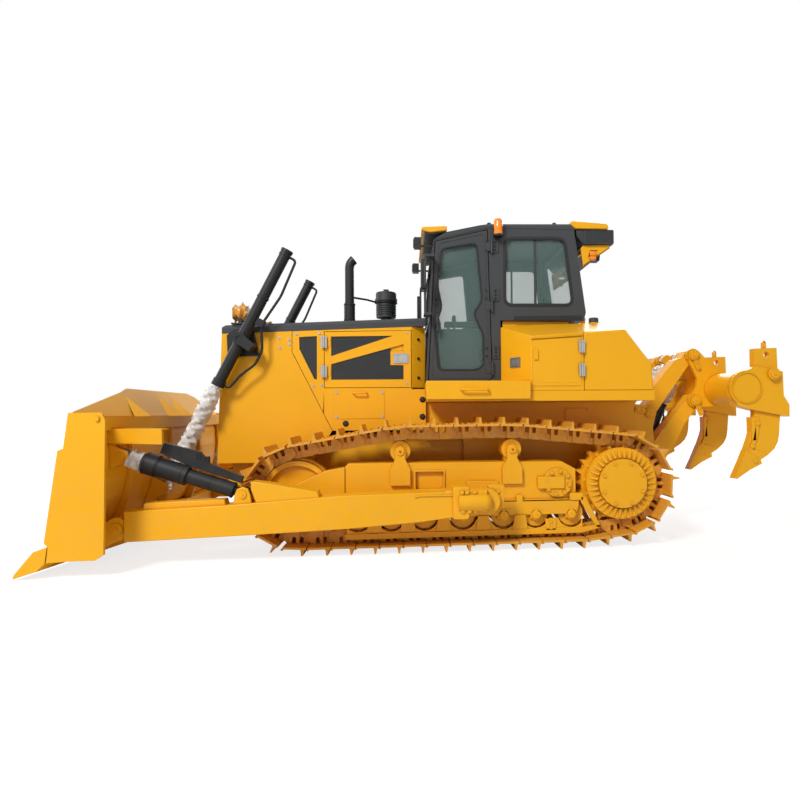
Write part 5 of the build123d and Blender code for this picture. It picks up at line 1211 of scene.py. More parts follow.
# %% [markdown]
# ## Latches, hinges and knobs
# Door furniture is bought in and the same everywhere: paddle latches, strap hinges, rubber knobs and
# screws. Each is drawn once, lying on its back, and the repeating tree stands it on every place where the
# machine has one. A place on the deck box's slanted nose only needs another aim.


# %% Latches, hinges and knobs
def latch_shape(bm):
    """A flush paddle latch, 0.15 wide: rim, sunk tray, paddle and key plug. It faces +Z."""
    rim = rounded(oblong(-0.078, -0.050, 0.078, 0.050), 0.012)
    band(bm, rim, inset(rim, 0.010), 0.0, 0.008, across="z")
    plate(bm, inset(rim, 0.009), 0.0, 0.0025, across="z")
    paddle = rounded(oblong(-0.060, -0.036, 0.022, 0.036), 0.008)
    plate(bm, paddle, 0.002, 0.0075, across="z")
    plate(bm, oblong(0.024, -0.032, 0.034, 0.032), 0.0, 0.012, across="z")
    drum(bm, (-0.030, 0.0, 0.0075), (-0.030, 0.0, 0.011), 0.013, 18)
    drum(bm, (-0.030, 0.0, 0.011), (-0.030, 0.0, 0.0125), 0.007, 12)


def knob_shape(bm):
    """A rubber plug of unit radius with a shoulder and a flat dome."""
    drum(bm, (0, 0, 0), (0, 0, 0.22), 1.0, 24)
    drum(bm, (0, 0, 0.22), (0, 0, 0.52), 0.92, 24, end_radius=0.72)
    drum(bm, (0, 0, 0.52), (0, 0, 0.60), 0.72, 24, end_radius=0.45)


def hinge_shape(bm):
    """A plated strap hinge along X: knuckle and two leaves with screws."""
    drum(bm, (-0.062, 0, 0.010), (0.062, 0, 0.010), 0.009, 14)
    plate(bm, oblong(-0.060, -0.030, 0.060, 0.030), 0.0, 0.004, across="z")
    for x in (-0.042, 0.042):
        for y in (-0.020, 0.020):
            drum(bm, (x, y, 0.004), (x, y, 0.007), 0.006, 8)


LATCH, KNOB, HINGE = part_mesh(latch_shape), part_mesh(knob_shape), part_mesh(hinge_shape)
KNOB_SPOTS = ((0.232, 1.432), (0.233, 1.255), (1.020, 1.190))
HOOD_SCREWS = ((1.515, 2.107), (1.283, 2.116), (1.344, 1.577), (1.263, 1.585), (1.689, 2.066), (1.681, 1.968),
               (1.591, 2.050), (1.587, 2.001))                                      # x, z
COVER_SCREWS = ((1.110, 1.505), (0.645, 1.508), (0.645, 1.262), (1.110, 1.260))
COVER_FACE, DOOR_SCREWS = 0.005, ((0.392, 2.128), (0.392, 1.600))
for side, hand in HANDS:
    out = (0.0, float(side), 0.0)
    near = side * HOOD_SIDE
    copied("door_latch_" + hand, LATCH, [((0.452, near, 1.860), out, (1, 0, 0))], SILVER,
           "engine_door_" + hand)
    spots = [((1.236, near + side * 0.0235, z), out, (0, 0, 1)) for z in (1.725, 2.025)]
    copied("door_hinges_" + hand, HINGE, spots, SILVER)
    spots = [((x, near, z), out, (1, 0, 0)) for x, z in KNOB_SPOTS]
    copied("hood_knobs_" + hand, KNOB, spots, RUBBER, size=0.030)
    spots = [((x, near, z), out) for x, z in HOOD_SCREWS]
    spots += [((x, near + side * COVER_FACE, z), out) for x, z in COVER_SCREWS]
    screws("hood_screws_" + hand, spots, 0.011, SILVER)
    spots = [((x, near, z), out) for x, z in DOOR_SCREWS]
    screws("door_screws_" + hand, spots, 0.009, SILVER, "engine_door_" + hand)
    # the slanted face of the deck box, and the box door
    low, high = (Vector((x, side * y, 0)) for x, y in DECK_PLAN[:2])
    face = Vector((high.y - low.y, low.x - high.x, 0)).normalized() * side
    spot = (low + high) / 2 + Vector((0, 0, 1.79))
    copied("deck_latch_" + hand, LATCH, [(spot, face, (high - low).normalized())], SILVER)
    spots = [((-1.303, side * 1.1735, z), out, (0, 0, 1)) for z in (1.700, 1.930)]
    copied("box_hinges_" + hand, HINGE, spots, SILVER, "box_door_" + hand)
    # screws down the turned-in post
    post = Vector((0.349 - 0.199, 0.620 - 0.530, 0)).normalized()
    away = Vector((-post.y, post.x * side, 0))
    spots = [((0.270, side * 0.5765, z), away) for z in (1.660, 1.860, 2.060)]
    screws("post_screws_" + hand, spots, 0.012, BLACK)
print("latches and hinges")

# %% [markdown]
# ## Access cover handle, exhaust and intake details
# The cover lifts off by a bar handle. The intake's precleaner is a spun bowl, so its rings are profiles
# turned round an upright axis, and worm clamps hold the exhaust's sleeve in the same way. A thin pipe joins
# the two.


# %% Cover handle, intake and pipe clamps
bm = bmesh.new()
for side in SIDES:
    handle(bm, (0.941, side * 0.624, 1.500), (0.806, side * 0.624, 1.500), (0, side * 0.045, 0), 0.008)
finished("cover_handles", bm, YELLOW, smooth=True)

INTAKE = (0.625, -0.100)
bm = bmesh.new()
turned(bm, INTAKE, [(0.121, 2.590), (0.121, 2.572), (0.130, 2.566), (0.130, 2.556), (0.114, 2.550)])
for z in (2.415, 2.440, 2.465, 2.490, 2.515):
    turned(bm, INTAKE, [(0.112, z), (0.1165, z + 0.004), (0.1165, z + 0.009), (0.112, z + 0.013)])
turned(bm, INTAKE, [(0.1175, 2.665), (0.112, 2.680), (0.070, 2.692), (0.024, 2.696)])
drum(bm, (*INTAKE, 2.694), (*INTAKE, 2.712), 0.012, 12)
box(bm, (INTAKE[0] - 0.030, INTAKE[1] - 0.004, 2.706), (INTAKE[0] + 0.030, INTAKE[1] + 0.004, 2.722))
finished("precleaner_rings", bm, BLACK, smooth=True)

bm = bmesh.new()
for z in (2.300, 2.470):
    turned(bm, EXHAUST, [(0.0590, z), (0.0625, z + 0.003), (0.0625, z + 0.017), (0.0590, z + 0.020)])
turned(bm, EXHAUST, [(0.0395, 2.497), (0.0440, 2.500), (0.0440, 2.518), (0.0395, 2.521)])
drum(bm, (EXHAUST[0] - 0.05, EXHAUST[1], 2.509), (EXHAUST[0] + 0.05, EXHAUST[1], 2.509), 0.007, 10)
tube(bm, [(EXHAUST[0] - 0.040, EXHAUST[1] - 0.015, 2.560), (0.83, 0.10, 2.562),
          (INTAKE[0] + 0.120, -0.045, 2.563)], 0.011)
finished("stack_clamps", bm, BLACK, smooth=True)
print("stack and intake")

# %% [markdown]
# ## Skirts, bosses and bolts along the undercarriage
# The track frame's side comes down over the rollers as a skirt. Its bosses hold the rollers' shafts, and
# between the rollers short ears tie it to the guard below. The push arm's cap is held by large bolts. All
# of it repeats at the rollers' places, so one loop over them draws the skirt and collects the spots for
# screws and plugs.

# %% Undercarriage details
SKIRT = (1.152, 1.164)
bosses, plugs, red = [], [], []
for side, hand in HANDS:
    out = (0.0, float(side), 0.0)
    bm = bmesh.new()
    low, high = span(side, *SKIRT)
    plate(bm, [(-1.262, 0.452), (-1.250, 0.352), (-1.190, 0.312), (0.965, 0.300), (1.035, 0.352),
               (1.035, 0.452)], low, high)
    plate(bm, [(-1.262, 0.436), (-1.262, 0.456), (1.035, 0.456), (1.035, 0.436)],
          *span(side, 1.118, SKIRT[1]))
    for a, b in zip(ROLLERS_X[:-1], ROLLERS_X[1:-1]):
        x = (a + b) / 2
        plate(bm, [(x - 0.074, 0.178), (x - 0.052, 0.312), (x + 0.052, 0.312), (x + 0.074, 0.178)],
              *span(side, 1.169, 1.181))
    for x in ROLLERS_X:
        drum(bm, (x, side * SKIRT[0], 0.312), (x, side * (SKIRT[1] + 0.006), 0.312), 0.055, 24)
        plate(bm, [(x - 0.055, 0.312), (x - 0.055, 0.372), (x + 0.055, 0.372), (x + 0.055, 0.312)],
              *span(side, SKIRT[0], SKIRT[1] + 0.006))
    finished("roller_skirt_" + hand, bm, YELLOW, bevel=0.003)
    bosses += [((x, side * (SKIRT[1] + 0.006), 0.312), out, (1, 0, 0)) for x in ROLLERS_X]
    plugs += [((x, side * (SKIRT[1] + 0.006), 0.352), out) for x in ROLLERS_X]
    plugs += [((-0.979, side * 1.178, z), out) for z in (0.185, 0.245)]
    red += [((x, side * (SKIRT[1] + 0.018), 0.312), out, (1, 0, 0)) for x in ROLLERS_X]
    red += [((x, side * 1.190, z), out, (1, 0, 0)) for x, z in CARRIERS]
    bosses += [((x, side * 1.165, z), out, (1, 0, 0)) for x, z in CARRIERS]
copied("shaft_bosses", CAP, bosses, YELLOW, size=0.040)
copied("grease_plugs", KNOB, red, moulded("red_plug", linear(190, 60, 30), 0.4), size=0.010)
screws("skirt_screws", plugs, 0.015)

CAP_FACE = 1.556
ARM_BOLTS = ((-0.087, 0.590), (-0.129, 0.590), (-0.200, 0.590), (-0.092, 0.424), (-0.206, 0.424),
             (-0.150, 0.424))
for side, hand in HANDS:
    out = (0.0, float(side), 0.0)
    spots = [((x, side * (CAP_FACE + (0.012 if x > -0.151 else 0)), z), out) for x, z in ARM_BOLTS]
    spots += [((-0.420, side * 1.470, z), out) for z in (0.440, 0.510, 0.580)]
    screws("trunnion_bolts_" + hand, spots, 0.019, body="blade")
    bm = bmesh.new()
    for x, z, r in ((2.854, 0.322, 0.052), (1.819, 0.599, 0.034), (2.829, 0.939, 0.032)):
        reach = 1.4425 + (0.085 if x == 2.854 else 0.070)
        drum(bm, (x, side * reach, z), (x, side * (reach + 0.012), z), r, 24)
        drum(bm, (x, side * (reach + 0.012), z), (x, side * (reach + 0.018), z), r * 0.35, 8)
    # grease lines clipped along the arm
    tube(bm, [(-0.03, side * 1.546, 0.560), (0.300, side * 1.546, 0.560), (0.330, side * 1.546, 0.545)],
         0.006)
    finished("arm_pin_caps_" + hand, bm, YELLOW, "blade", smooth=True)
print("undercarriage dressed")

# %% [markdown]
# ## Blade hardware
# Hardened edges wear out, so they are bolted on with countersunk plow bolts whose nuts stand behind. Seams
# between the edge's sections, and the weld beads where ribs meet the moldboard, break up its long plates.
# Beads are thin tubes sunk by half: a bump map could not run round a corner as they do.

# %% Edge bolts and weld beads
WING_Y, SWEEP_RATE = 1.0, 0.150 / 0.862


def swept(x, y):
    return x + max(0.0, abs(y) - WING_Y) * SWEEP_RATE


def edge_point(y, share):
    """A point on the cutting edge's front face, from its upper to its lower row."""
    return (swept(3.179 + share * (3.320 - 3.179), y), y, 0.220 + share * (0.046 - 0.220))


FRONT_AIM = Vector((0.174, 0.0, 0.141)).normalized()
plow = []
for k in range(-15, 16):
    for share in (0.22, 0.48):
        spot = Vector(edge_point(k * 0.118, share))
        plow.append((spot - FRONT_AIM * 0.001, tuple(FRONT_AIM), (0.0, 1.0, 0.0)))


def plow_shape(bm):
    """The square-necked flat head of a plow bolt, of unit radius, with its rim standing just proud."""
    drum(bm, (0, 0, 0), (0, 0, 0.16), 1.0, 20, end_radius=0.92)
    drum(bm, (0, 0, 0.16), (0, 0, 0.20), 0.45, 4)


copied("plow_bolts", part_mesh(plow_shape), plow, TRACK, "blade", size=0.020)
bm = bmesh.new()
for y in (-1.46, -0.55, 0.55, 1.46):
    a, b = Vector(edge_point(y, 0.02)), Vector(edge_point(y, 0.98))
    tube(bm, [a + FRONT_AIM * 0.0005, b + FRONT_AIM * 0.0005], 0.003, 6)
finished("edge_seams", bm, CASTING, "blade")

bm = bmesh.new()
for y in (-1.240, -0.420, 0.420, 1.240):
    for gap in (-0.017, 0.017):
        tube(bm, [(swept(x, y), y + gap, z) for x, z in ((3.000, 0.334), (2.902, 0.560), (2.866, 0.900),
                                                         (2.882, 1.160))], 0.006, 8)
for side in SIDES:
    tube(bm, [(swept(2.888, y), side * y, 1.284) for y in (0.0, 0.5, 1.0, 1.4, 1.8)], 0.006, 8)
finished("weld_beads", bm, YELLOW, "blade", smooth=True)
screws("blade_corner_bolts", [((2.851, side * 1.862, 1.265), (0.0, float(side), 0.0)) for side in SIDES],
       0.020, body="blade")
print("blade hardware")

# %% [markdown]
# ## Seals, handles and fittings round the cab
# Every pane sits in a rubber profile. Its outline is the pane's own, so it is written once and moved in or
# out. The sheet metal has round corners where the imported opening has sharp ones, so a filler with both
# outlines closes each. A pressed rib and a lever lock finish the door.

# %% Seals
CAB_SIDE, DOOR_FACE = 0.730, 0.742
DOOR_PANE = [(0.036, 2.977), (-0.332, 3.046), (-0.384, 2.444), (-0.295, 2.316), (-0.396, 2.095),
             (-0.394, 1.779), (-0.322, 1.732), (0.072, 1.732), (0.109, 2.141), (0.030, 2.378),
             (0.074, 2.597)]
SIDE_WINDOW = [(-0.629, 3.100), (-1.261, 3.111), (-1.343, 2.411), (-0.623, 2.405)]
DOOR_EDGE = [(0.168, 1.618), (0.092, 3.052), (-0.440, 3.178), (-0.480, 1.660), (-0.440, 1.618)]


def seal(bm, outline, corner, low, high, width=0.016):
    """A rubber profile whose inner edge follows the opening with its corners rounded."""
    line = rounded(outline, corner, 6)
    band(bm, inset(line, -width / 2), inset(line, width / 2), low, high)


def corner_filler(bm, outline, corner, low, high):
    """The sheet metal between an opening's sharp outline and its rounded one."""
    band(bm, rounded(inset(outline, -0.004), 0.003, 6), rounded(outline, corner, 6), low, high)


for side, hand in HANDS:
    bm = bmesh.new()
    corner_filler(bm, DOOR_PANE, 0.055, *span(side, DOOR_FACE - 0.012, DOOR_FACE + 0.0005))
    finished("door_corners_" + hand, bm, CHARCOAL, "cab_door_" + hand)
    bm = bmesh.new()
    corner_filler(bm, SIDE_WINDOW, 0.085, *span(side, CAB_SIDE - 0.016, CAB_SIDE + 0.0005))
    finished("window_corners_" + hand, bm, CHARCOAL)
    bm = bmesh.new()
    seal(bm, DOOR_PANE, 0.055, *span(side, DOOR_FACE - 0.012, DOOR_FACE + 0.006))
    finished("door_seal_" + hand, bm, RUBBER, "cab_door_" + hand, bevel=0.002)
    bm = bmesh.new()
    seal(bm, SIDE_WINDOW, 0.085, *span(side, CAB_SIDE - 0.014, CAB_SIDE + 0.006), width=0.030)
    finished("window_seal_" + hand, bm, RUBBER, bevel=0.002)
    # the pressed rib that follows the door's edge
    bm = bmesh.new()
    ridge = rounded(inset(DOOR_EDGE, 0.022), 0.05, 5)
    band(bm, ridge, inset(ridge, 0.010), *span(side, DOOR_FACE, DOOR_FACE + 0.004))
    finished("door_rib_" + hand, bm, CHARCOAL, "cab_door_" + hand, bevel=0.0015)
    # lever handle with its lock
    bm = bmesh.new()
    plate(bm, rounded([(0.062, 2.385), (0.112, 2.385), (0.104, 2.565), (0.054, 2.565)], 0.02),
          *span(side, DOOR_FACE, DOOR_FACE + 0.010))
    drum(bm, (0.086, side * DOOR_FACE, 2.420), (0.086, side * (DOOR_FACE + 0.016), 2.420), 0.013, 16)
    foot = side * (DOOR_FACE + 0.004)
    handle(bm, (0.082, foot, 2.540), (0.086, foot, 2.450), (0, side * 0.030, 0), 0.009)
    finished("door_lock_" + hand, bm, TRIM, "cab_door_" + hand, bevel=0.002)

# %% [markdown]
# ## Windscreen and rear pane
# Both panes lean. A seal drawn flat and then turned would fit one of them, but with a small function that
# gives the cab's face at each height, one routine lays the seals and the wipers on either pane.


# %% Windscreen and rear pane: seals and wipers
def front_x(z):
    """The windscreen's face at a height."""
    return 0.198 - 0.086 * (z - 1.584) / 1.487


def rear_x(z):
    """The rear pane's face at a height."""
    return -1.481 + 0.119 * (z - 2.333) / 0.871


def leaning_band(bm, half, low, high, edge, depth, width=0.030):
    """A seal round a pane that leans: its outline lies in y and z and each point moves to the cab's face."""
    rim = rounded(oblong(-half, low, half, high), 0.06, 6)
    rings = [(inset(rim, amount * width / 2), x) for amount, x in ((-1, 0.0), (-1, depth), (1, depth),
                                                                   (1, 0.0))]
    skin(bm, [[bm.verts.new((edge(z) + x, y, z)) for y, z in ring] for ring, x in rings], caps=False)


bm = bmesh.new()
leaning_band(bm, 0.620, 2.330, 3.000, front_x, 0.008)
leaning_band(bm, 0.600, 2.420, 3.110, rear_x, -0.008)
finished("pane_seals", bm, RUBBER)
bm = bmesh.new()
WIPERS = ((0.10, -0.34, 2.300, 2.900, front_x, 0.020), (0.05, 0.36, 3.140, 2.600, rear_x, -0.020))
for base_y, tip_y, base_z, tip_z, edge, out in WIPERS:
    middle = (base_z + tip_z) / 2
    tube(bm, [(edge(base_z) + out, base_y, base_z), (edge(middle) + 1.6 * out, (base_y + tip_y) / 2, middle),
              (edge(tip_z) + out, tip_y, tip_z)], 0.006)
    drum(bm, (edge(base_z), base_y, base_z), (edge(base_z) + out * 1.4, base_y, base_z), 0.016, 14)
    low, high = tip_z - 0.26, tip_z + 0.08
    tube(bm, [(edge(low) + out * 0.5, tip_y + 0.01, low), (edge(high) + out * 0.5, tip_y - 0.01, high)],
         0.007)
finished("wipers", bm, TRIM, smooth=True)
print("seals and wipers")

# %% [markdown]
# ## Drain strips
# A dark strip runs along the cab's foot, over each deck box, and sheds the rain that comes down the side.
# Two thin plates, the outer one smaller, catch the light like its folded edge.

# %% Drain strips
bm = bmesh.new()
for side in SIDES:
    plate(bm, [(-0.718, 2.240), (-0.718, 2.288), (-1.440, 2.301), (-1.440, 2.252)],
          *span(side, CAB_SIDE, CAB_SIDE + 0.004))
    plate(bm, [(-0.745, 2.250), (-0.745, 2.276), (-1.420, 2.289), (-1.420, 2.264)],
          *span(side, CAB_SIDE + 0.003, CAB_SIDE + 0.0055))
finished("drain_strips", bm, TRIM, bevel=0.001)
print("drain strips")

# %% [markdown]
# ## Shipping film on the rods
# New machines leave the works with film wound round their polished rods. The wrap is a tube whose rings
# swell and pinch from one to the next, with creases round it.

# %% Film wraps
def wrap_mesh(start, end, radius, rings=70, sides=36, seed=3):
    """A crumpled sleeve between two points, closed on the rod at both ends."""
    dice = random.Random(seed)          # seeded, so every run makes the same creases
    bm = bmesh.new()
    start, end = Vector(start), Vector(end)
    along = (end - start).normalized()
    side = along.cross(Vector((0.0, 1.0, 0.0))).normalized()
    other = along.cross(side)
    lobes = [(dice.randint(1, 6), dice.uniform(0, 6.3), dice.uniform(-1.3, 1.3)) for _ in range(7)]
    drift = [dice.uniform(-0.10, 0.10) for _ in range(rings + 3)]
    loops = []
    for i in range(rings):
        t = i / (rings - 1)
        taper = min(1.0, 0.55 + 7 * t, 0.55 + 7 * (1 - t))
        loop = []
        for k in range(sides):
            a = 2 * math.pi * k / sides
            crease = sum(math.sin(n * a + p + q * i) for n, p, q in lobes) / 7
            r = radius * taper * (1 + sum(drift[i:i + 4]) / 2 + 0.42 * crease + dice.uniform(-0.05, 0.05))
            spot = start.lerp(end, t) + r * (math.cos(a) * side + math.sin(a) * other)
            loop.append(bm.verts.new(spot))
        loops.append(loop)
    skin(bm, loops)
    return bm


FILM = moulded("film", linear(214, 212, 208), 0.28)
WRAP_FROM, WRAP_TO = 0.535, 1.480       # along the lift cylinder from its yoke
for side, hand in HANDS:
    y = side * LIFT_Y
    low, high = beside(0.0, 0, y), beside(WRAP_TO, 0, y)
    wrap = wrap_mesh(beside(WRAP_FROM, 0, y), high, 0.074, seed=3 + side)
    sleeve = finished("rod_wrap_" + hand, wrap, FILM, "lift_rod_" + hand, smooth=True)
    tuple((high - low).normalized())
    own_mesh(sleeve)
TILT_FROM, TILT_TO = Vector((1.819, ARM_MID, 0.599)), Vector((2.829, ARM_MID, 0.939))
TILT_RUN = (TILT_TO - TILT_FROM).normalized()


def tilt_point(reach):
    return TILT_FROM + reach * TILT_RUN


wrap = wrap_mesh(tilt_point(0.888), tilt_point(1.018), 0.078, 16, 28, 9)
finished("tilt_wrap", wrap, FILM, "blade", smooth=True)
bm = bmesh.new()
for reach, radius in ((0.100, 0.071), (0.300, 0.0685), (0.500, 0.071), (0.553, 0.0905), (0.762, 0.090),
                      (0.872, 0.099)):
    drum(bm, tilt_point(reach - 0.007), tilt_point(reach + 0.007), radius, 36)
for x, z in ((2.130, 0.872), (2.200, 0.905)):
    drum(bm, (x, ARM_MID, z), (x, ARM_MID, z + 0.055), 0.020, 20)
finished("tilt_collars", bm, BLACK, "blade", bevel=0.002, smooth=True)
for side, hand in HANDS:
    wrap = wrap_mesh((2.004, side * 0.540, 2.325), (2.156, side * 0.540, 2.325), 0.086, 14, 28, 21 + side)
    finished("lamp_wrap_" + hand, wrap, moulded("lamp_film", linear(214, 150, 60), 0.35), smooth=True)
print("film on the rods and lamps")

# %% [markdown]
# ## The operator's seat
# The cushions are blown up with pressure, as foam fills a cover: a smaller block is remeshed, Cloth swells
# it for twenty frames, each point may move only so far, and one subdivision smooths the result.


# %% Seat cushions
VOXEL, PRESSURE, FRAMES = 0.012, 4.0, 20


def cushion(name, bm, cap):
    """Swell a block into a padded piece that stays near its first shape."""
    pad = finished(name, bm, TRIM)
    remesh = pad.modifiers.new("even_skin", "REMESH")
    remesh.mode, remesh.voxel_size = "VOXEL", VOXEL
    settle(pad)
    rest = [v.co.copy() for v in pad.data.vertices]
    cloth = pad.modifiers.new("swell", "CLOTH")
    cloth.settings.use_pressure = True
    cloth.settings.uniform_pressure_force = PRESSURE
    cloth.settings.effector_weights.gravity = 0.0
    for step in range(1, FRAMES + 1):
        bpy.context.scene.frame_set(step)
    settle(pad)
    for v, home in zip(pad.data.vertices, rest):
        move = v.co - home
        if move.length > cap:
            v.co = home + move.normalized() * cap
    bpy.context.scene.frame_set(1)
    smoother = pad.modifiers.new("smoother", "SUBSURF")
    smoother.levels = smoother.render_levels = 1
    settle(pad)
    pad.data.shade_smooth()
    return pad


def settle(thing):
    """Turn what the modifiers show now into the piece's own mesh."""
    bpy.context.view_layer.update()
    shown = thing.evaluated_get(bpy.context.evaluated_depsgraph_get())
    mesh = bpy.data.meshes.new_from_object(shown)
    thing.modifiers.clear()
    thing.data = mesh


SEAT_X = -0.270
bm = bmesh.new()
box(bm, (SEAT_X - 0.205, -0.225, 1.985), (SEAT_X + 0.175, 0.225, 2.075))
bmesh.ops.bevel(bm, geom=bm.edges[:], offset=0.02, segments=2, affect="EDGES")
cushion("seat_cushion", bm, 0.024)
bm = bmesh.new()
plate(bm, [(-0.440, 2.105), (-0.520, 2.105), (-0.600, 2.700), (-0.520, 2.720)], -0.205, 0.205)
bmesh.ops.bevel(bm, geom=bm.edges[:], offset=0.02, segments=2, affect="EDGES")
cushion("back_cushion", bm, 0.022)
bm = bmesh.new()
box(bm, (SEAT_X - 0.180, -0.180, 1.615), (SEAT_X + 0.160, 0.180, 1.940))
for z in (1.66, 1.71, 1.76, 1.81, 1.86):
    box(bm, (SEAT_X - 0.190, -0.190, z), (SEAT_X + 0.170, 0.190, z + 0.022))
box(bm, (SEAT_X - 0.230, -0.240, 1.940), (SEAT_X + 0.200, 0.240, 1.975))
plate(bm, [(-0.535, 2.000), (-0.560, 2.000), (-0.650, 2.740), (-0.625, 2.740)], -0.215, 0.215)
for side in SIDES:
    side_box(bm, side, (-0.450, 0.230, 1.960), (-0.370, 0.300, 2.240))
    side_box(bm, side, (-0.470, 0.255, 2.230), (-0.020, 0.335, 2.290))
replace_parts(finished("seat_frame", bm, PLASTIC, bevel=0.008), "seat")
print("seat")

# %% [markdown]
# ## Controls
# A lever stands in a rubber boot on each side of the seat, three pedals stand before it, and a monitor
# faces it from the dash. They show only through glass, so each keeps to the few forms that read from
# outside.

# %% Controls
LEVER_X, LEVER_Y = -0.120, 0.430
bm = bmesh.new()
for y in (LEVER_Y, -LEVER_Y):
    tube(bm, [(LEVER_X, y, 2.170), (LEVER_X + 0.012, y, 2.230), (LEVER_X + 0.004, y, 2.290)], 0.011)
    for k in range(3):
        z = 2.205 + k * 0.009
        drum(bm, (LEVER_X + 0.004, y, z), (LEVER_X + 0.004, y, z + 0.006), 0.024 - 0.003 * k, 18)
for y in (LEVER_Y, -LEVER_Y):
    grip = bmesh.ops.create_uvsphere(bm, u_segments=20, v_segments=12, radius=0.030)
    for v in grip["verts"]:
        v.co = Vector((v.co.x * 0.8, v.co.y * 0.8, v.co.z * 1.5)) + Vector((LEVER_X + 0.004, y, 2.300))
for k in range(3):
    box(bm, (0.040, -0.200 + 0.150 * k, 1.640), (0.052, -0.090 + 0.150 * k, 1.740))
MONITOR = oblong(-0.190, 2.115, 0.190, 2.305)
rim = rounded(MONITOR, 0.02)
band(bm, rim, inset(rim, 0.015), 0.010, 0.020, across="x")
finished("cab_controls", bm, PLASTIC, bevel=0.002, smooth=True)
bm = bmesh.new()
plate(bm, inset(MONITOR, 0.016), 0.012, 0.018, across="x")
finished("monitor_screen", bm, GLASS)
print("controls")

# %% [markdown]
# ## Hinge boxes, mirrors and lamp faces
# Each cab door hangs on three hinge boxes bolted to the frame and to the leaf. A mirror stands on each
# front rail. A working lamp is a bright lens in a dark rim: the housings are solids of the frame, so only
# lens and rim are added.

# %% Hinge boxes, mirrors and lamp faces
HINGES_Z = (2.945, 2.440, 1.845)
LAMPS = ((0.560, 3.0775, 0.310, 1), (0.470, 2.9975, -1.700, -1))      # y, z, face x and the way it looks
LENS_RADIUS, RIM_RADIUS = 0.044, 0.050
for side, hand in HANDS:
    out = (0.0, float(side), 0.0)
    boxes, bolts_frame, bolts_leaf = bmesh.new(), [], []
    for low in HINGES_Z:
        side_box(boxes, side, (-0.560, 0.730, low), (-0.488, 0.742, low + 0.135))
        bolts_frame += [((-0.524, side * 0.742, low + dz), out) for dz in (0.028, 0.068, 0.107)]
        bolts_leaf += [((-0.428, side * 0.743, low + dz), out) for dz in (0.028, 0.107)]
    finished("hinge_boxes_" + hand, boxes, CHARCOAL, bevel=0.004)
    screws("hinge_bolts_" + hand, bolts_frame, 0.010, BLACK)
    screws("leaf_bolts_" + hand, bolts_leaf, 0.009, BLACK, "cab_door_" + hand)
    # mirror head with its glass, on the rail
    bm = bmesh.new()
    y0, y1 = span(side, 0.900, 1.015)
    plate(bm, rounded(oblong(y0, 2.515, y1, 2.805), 0.025), 0.212, 0.252, across="x")
    finished("mirror_" + hand, bm, TRIM, bevel=0.008, smooth=True)
    bm = bmesh.new()
    plate(bm, rounded(oblong(y0 + 0.012, 2.530, y1 - 0.012, 2.790), 0.02),
          0.2105, 0.213, across="x")
    finished("mirror_glass_" + hand, bm, CHROME)
bm = bmesh.new()
for y, z, x, way in LAMPS:
    for side in SIDES:
        drum(bm, (x, side * y, z), (x + way * 0.004, side * y, z), LENS_RADIUS, 28)
finished("lamp_lenses", bm, SILVER, bevel=0.001)
bm = bmesh.new()
for y, z, x, way in LAMPS:
    for side in SIDES:
        ring = circle((side * y, z), RIM_RADIUS, 28)
        band(bm, ring, inset(ring, 0.007), *sorted((x, x + way * 0.009)), across="x")
finished("lamp_rims", bm, TRIM, bevel=0.001)
print("hinges, mirrors and lamps")

# %% [markdown]
# ## Ripper hardware
# Each pin of the linkage ends in a cap with a keeper plate. The shanks carry a wear shield down the front,
# an adapter over the toe and a tooth held by a cross pin. The cylinders' rods are still in their film. All
# of it is placed from the linkage's own pin centres, so a cap can't drift from its pin.

# %% Ripper pins, shields and teeth
RIP_A, RIP_B = Vector((-2.731, 0.0, 1.905)), Vector((-2.751, 0.0, 1.407))
RIP_C, RIP_E = Vector((-2.236, 0.0, 1.279)), Vector((-2.230, 0.0, 0.655))
RIP_D = RIP_B - RIP_A + RIP_C           # the fourth corner of the parallelogram
LUG_FACE = 0.545


def pin_cap(bm, x, z, y, radius):
    """A stepped cap that faces outwards at y, with its centre plug."""
    out = 1 if y > 0 else -1
    for low, high, r in ((0.0, 0.014, 1.0), (0.014, 0.024, 0.72), (0.024, 0.032, 0.26)):
        drum(bm, (x, y + out * low, z), (x, y + out * high, z), radius * r, 32 if r > 0.5 else 8)


def keeper(bm, x, z, y, along, length, half=0.026):
    """A strap beside a pin cap, with two bolt heads."""
    out = 1 if y > 0 else -1
    run = Vector(along).normalized()
    off = Vector((-run.y, run.x))
    a, b = Vector((x, z)) + run * 0.055, Vector((x, z)) + run * (0.055 + length)
    outline = [tuple(a + off * half), tuple(b + off * half), tuple(b - off * half), tuple(a - off * half)]
    plate(bm, rounded(outline, 0.012), *sorted((y, y + out * 0.018)))
    for share in (0.3, 0.8):
        p = a.lerp(b, share)
        drum(bm, (p.x, y + out * 0.018, p.y), (p.x, y + out * 0.030, p.y), 0.013, 6)


CAP_Y = LUG_FACE + 0.012
for body, points, along in (("ripper_beam", (RIP_A, RIP_B), (-0.4, -1.0)),
                            ("root", (RIP_C, RIP_D), (1.0, 0.25))):
    bm = bmesh.new()
    for p in points:
        for side in SIDES:
            pin_cap(bm, p.x, p.z, side * CAP_Y, 0.058)
            keeper(bm, p.x, p.z, side * (CAP_Y - 0.0115), along, 0.120)
    finished("pin_caps_" + body, bm, YELLOW, body, bevel=0.002, smooth=True)

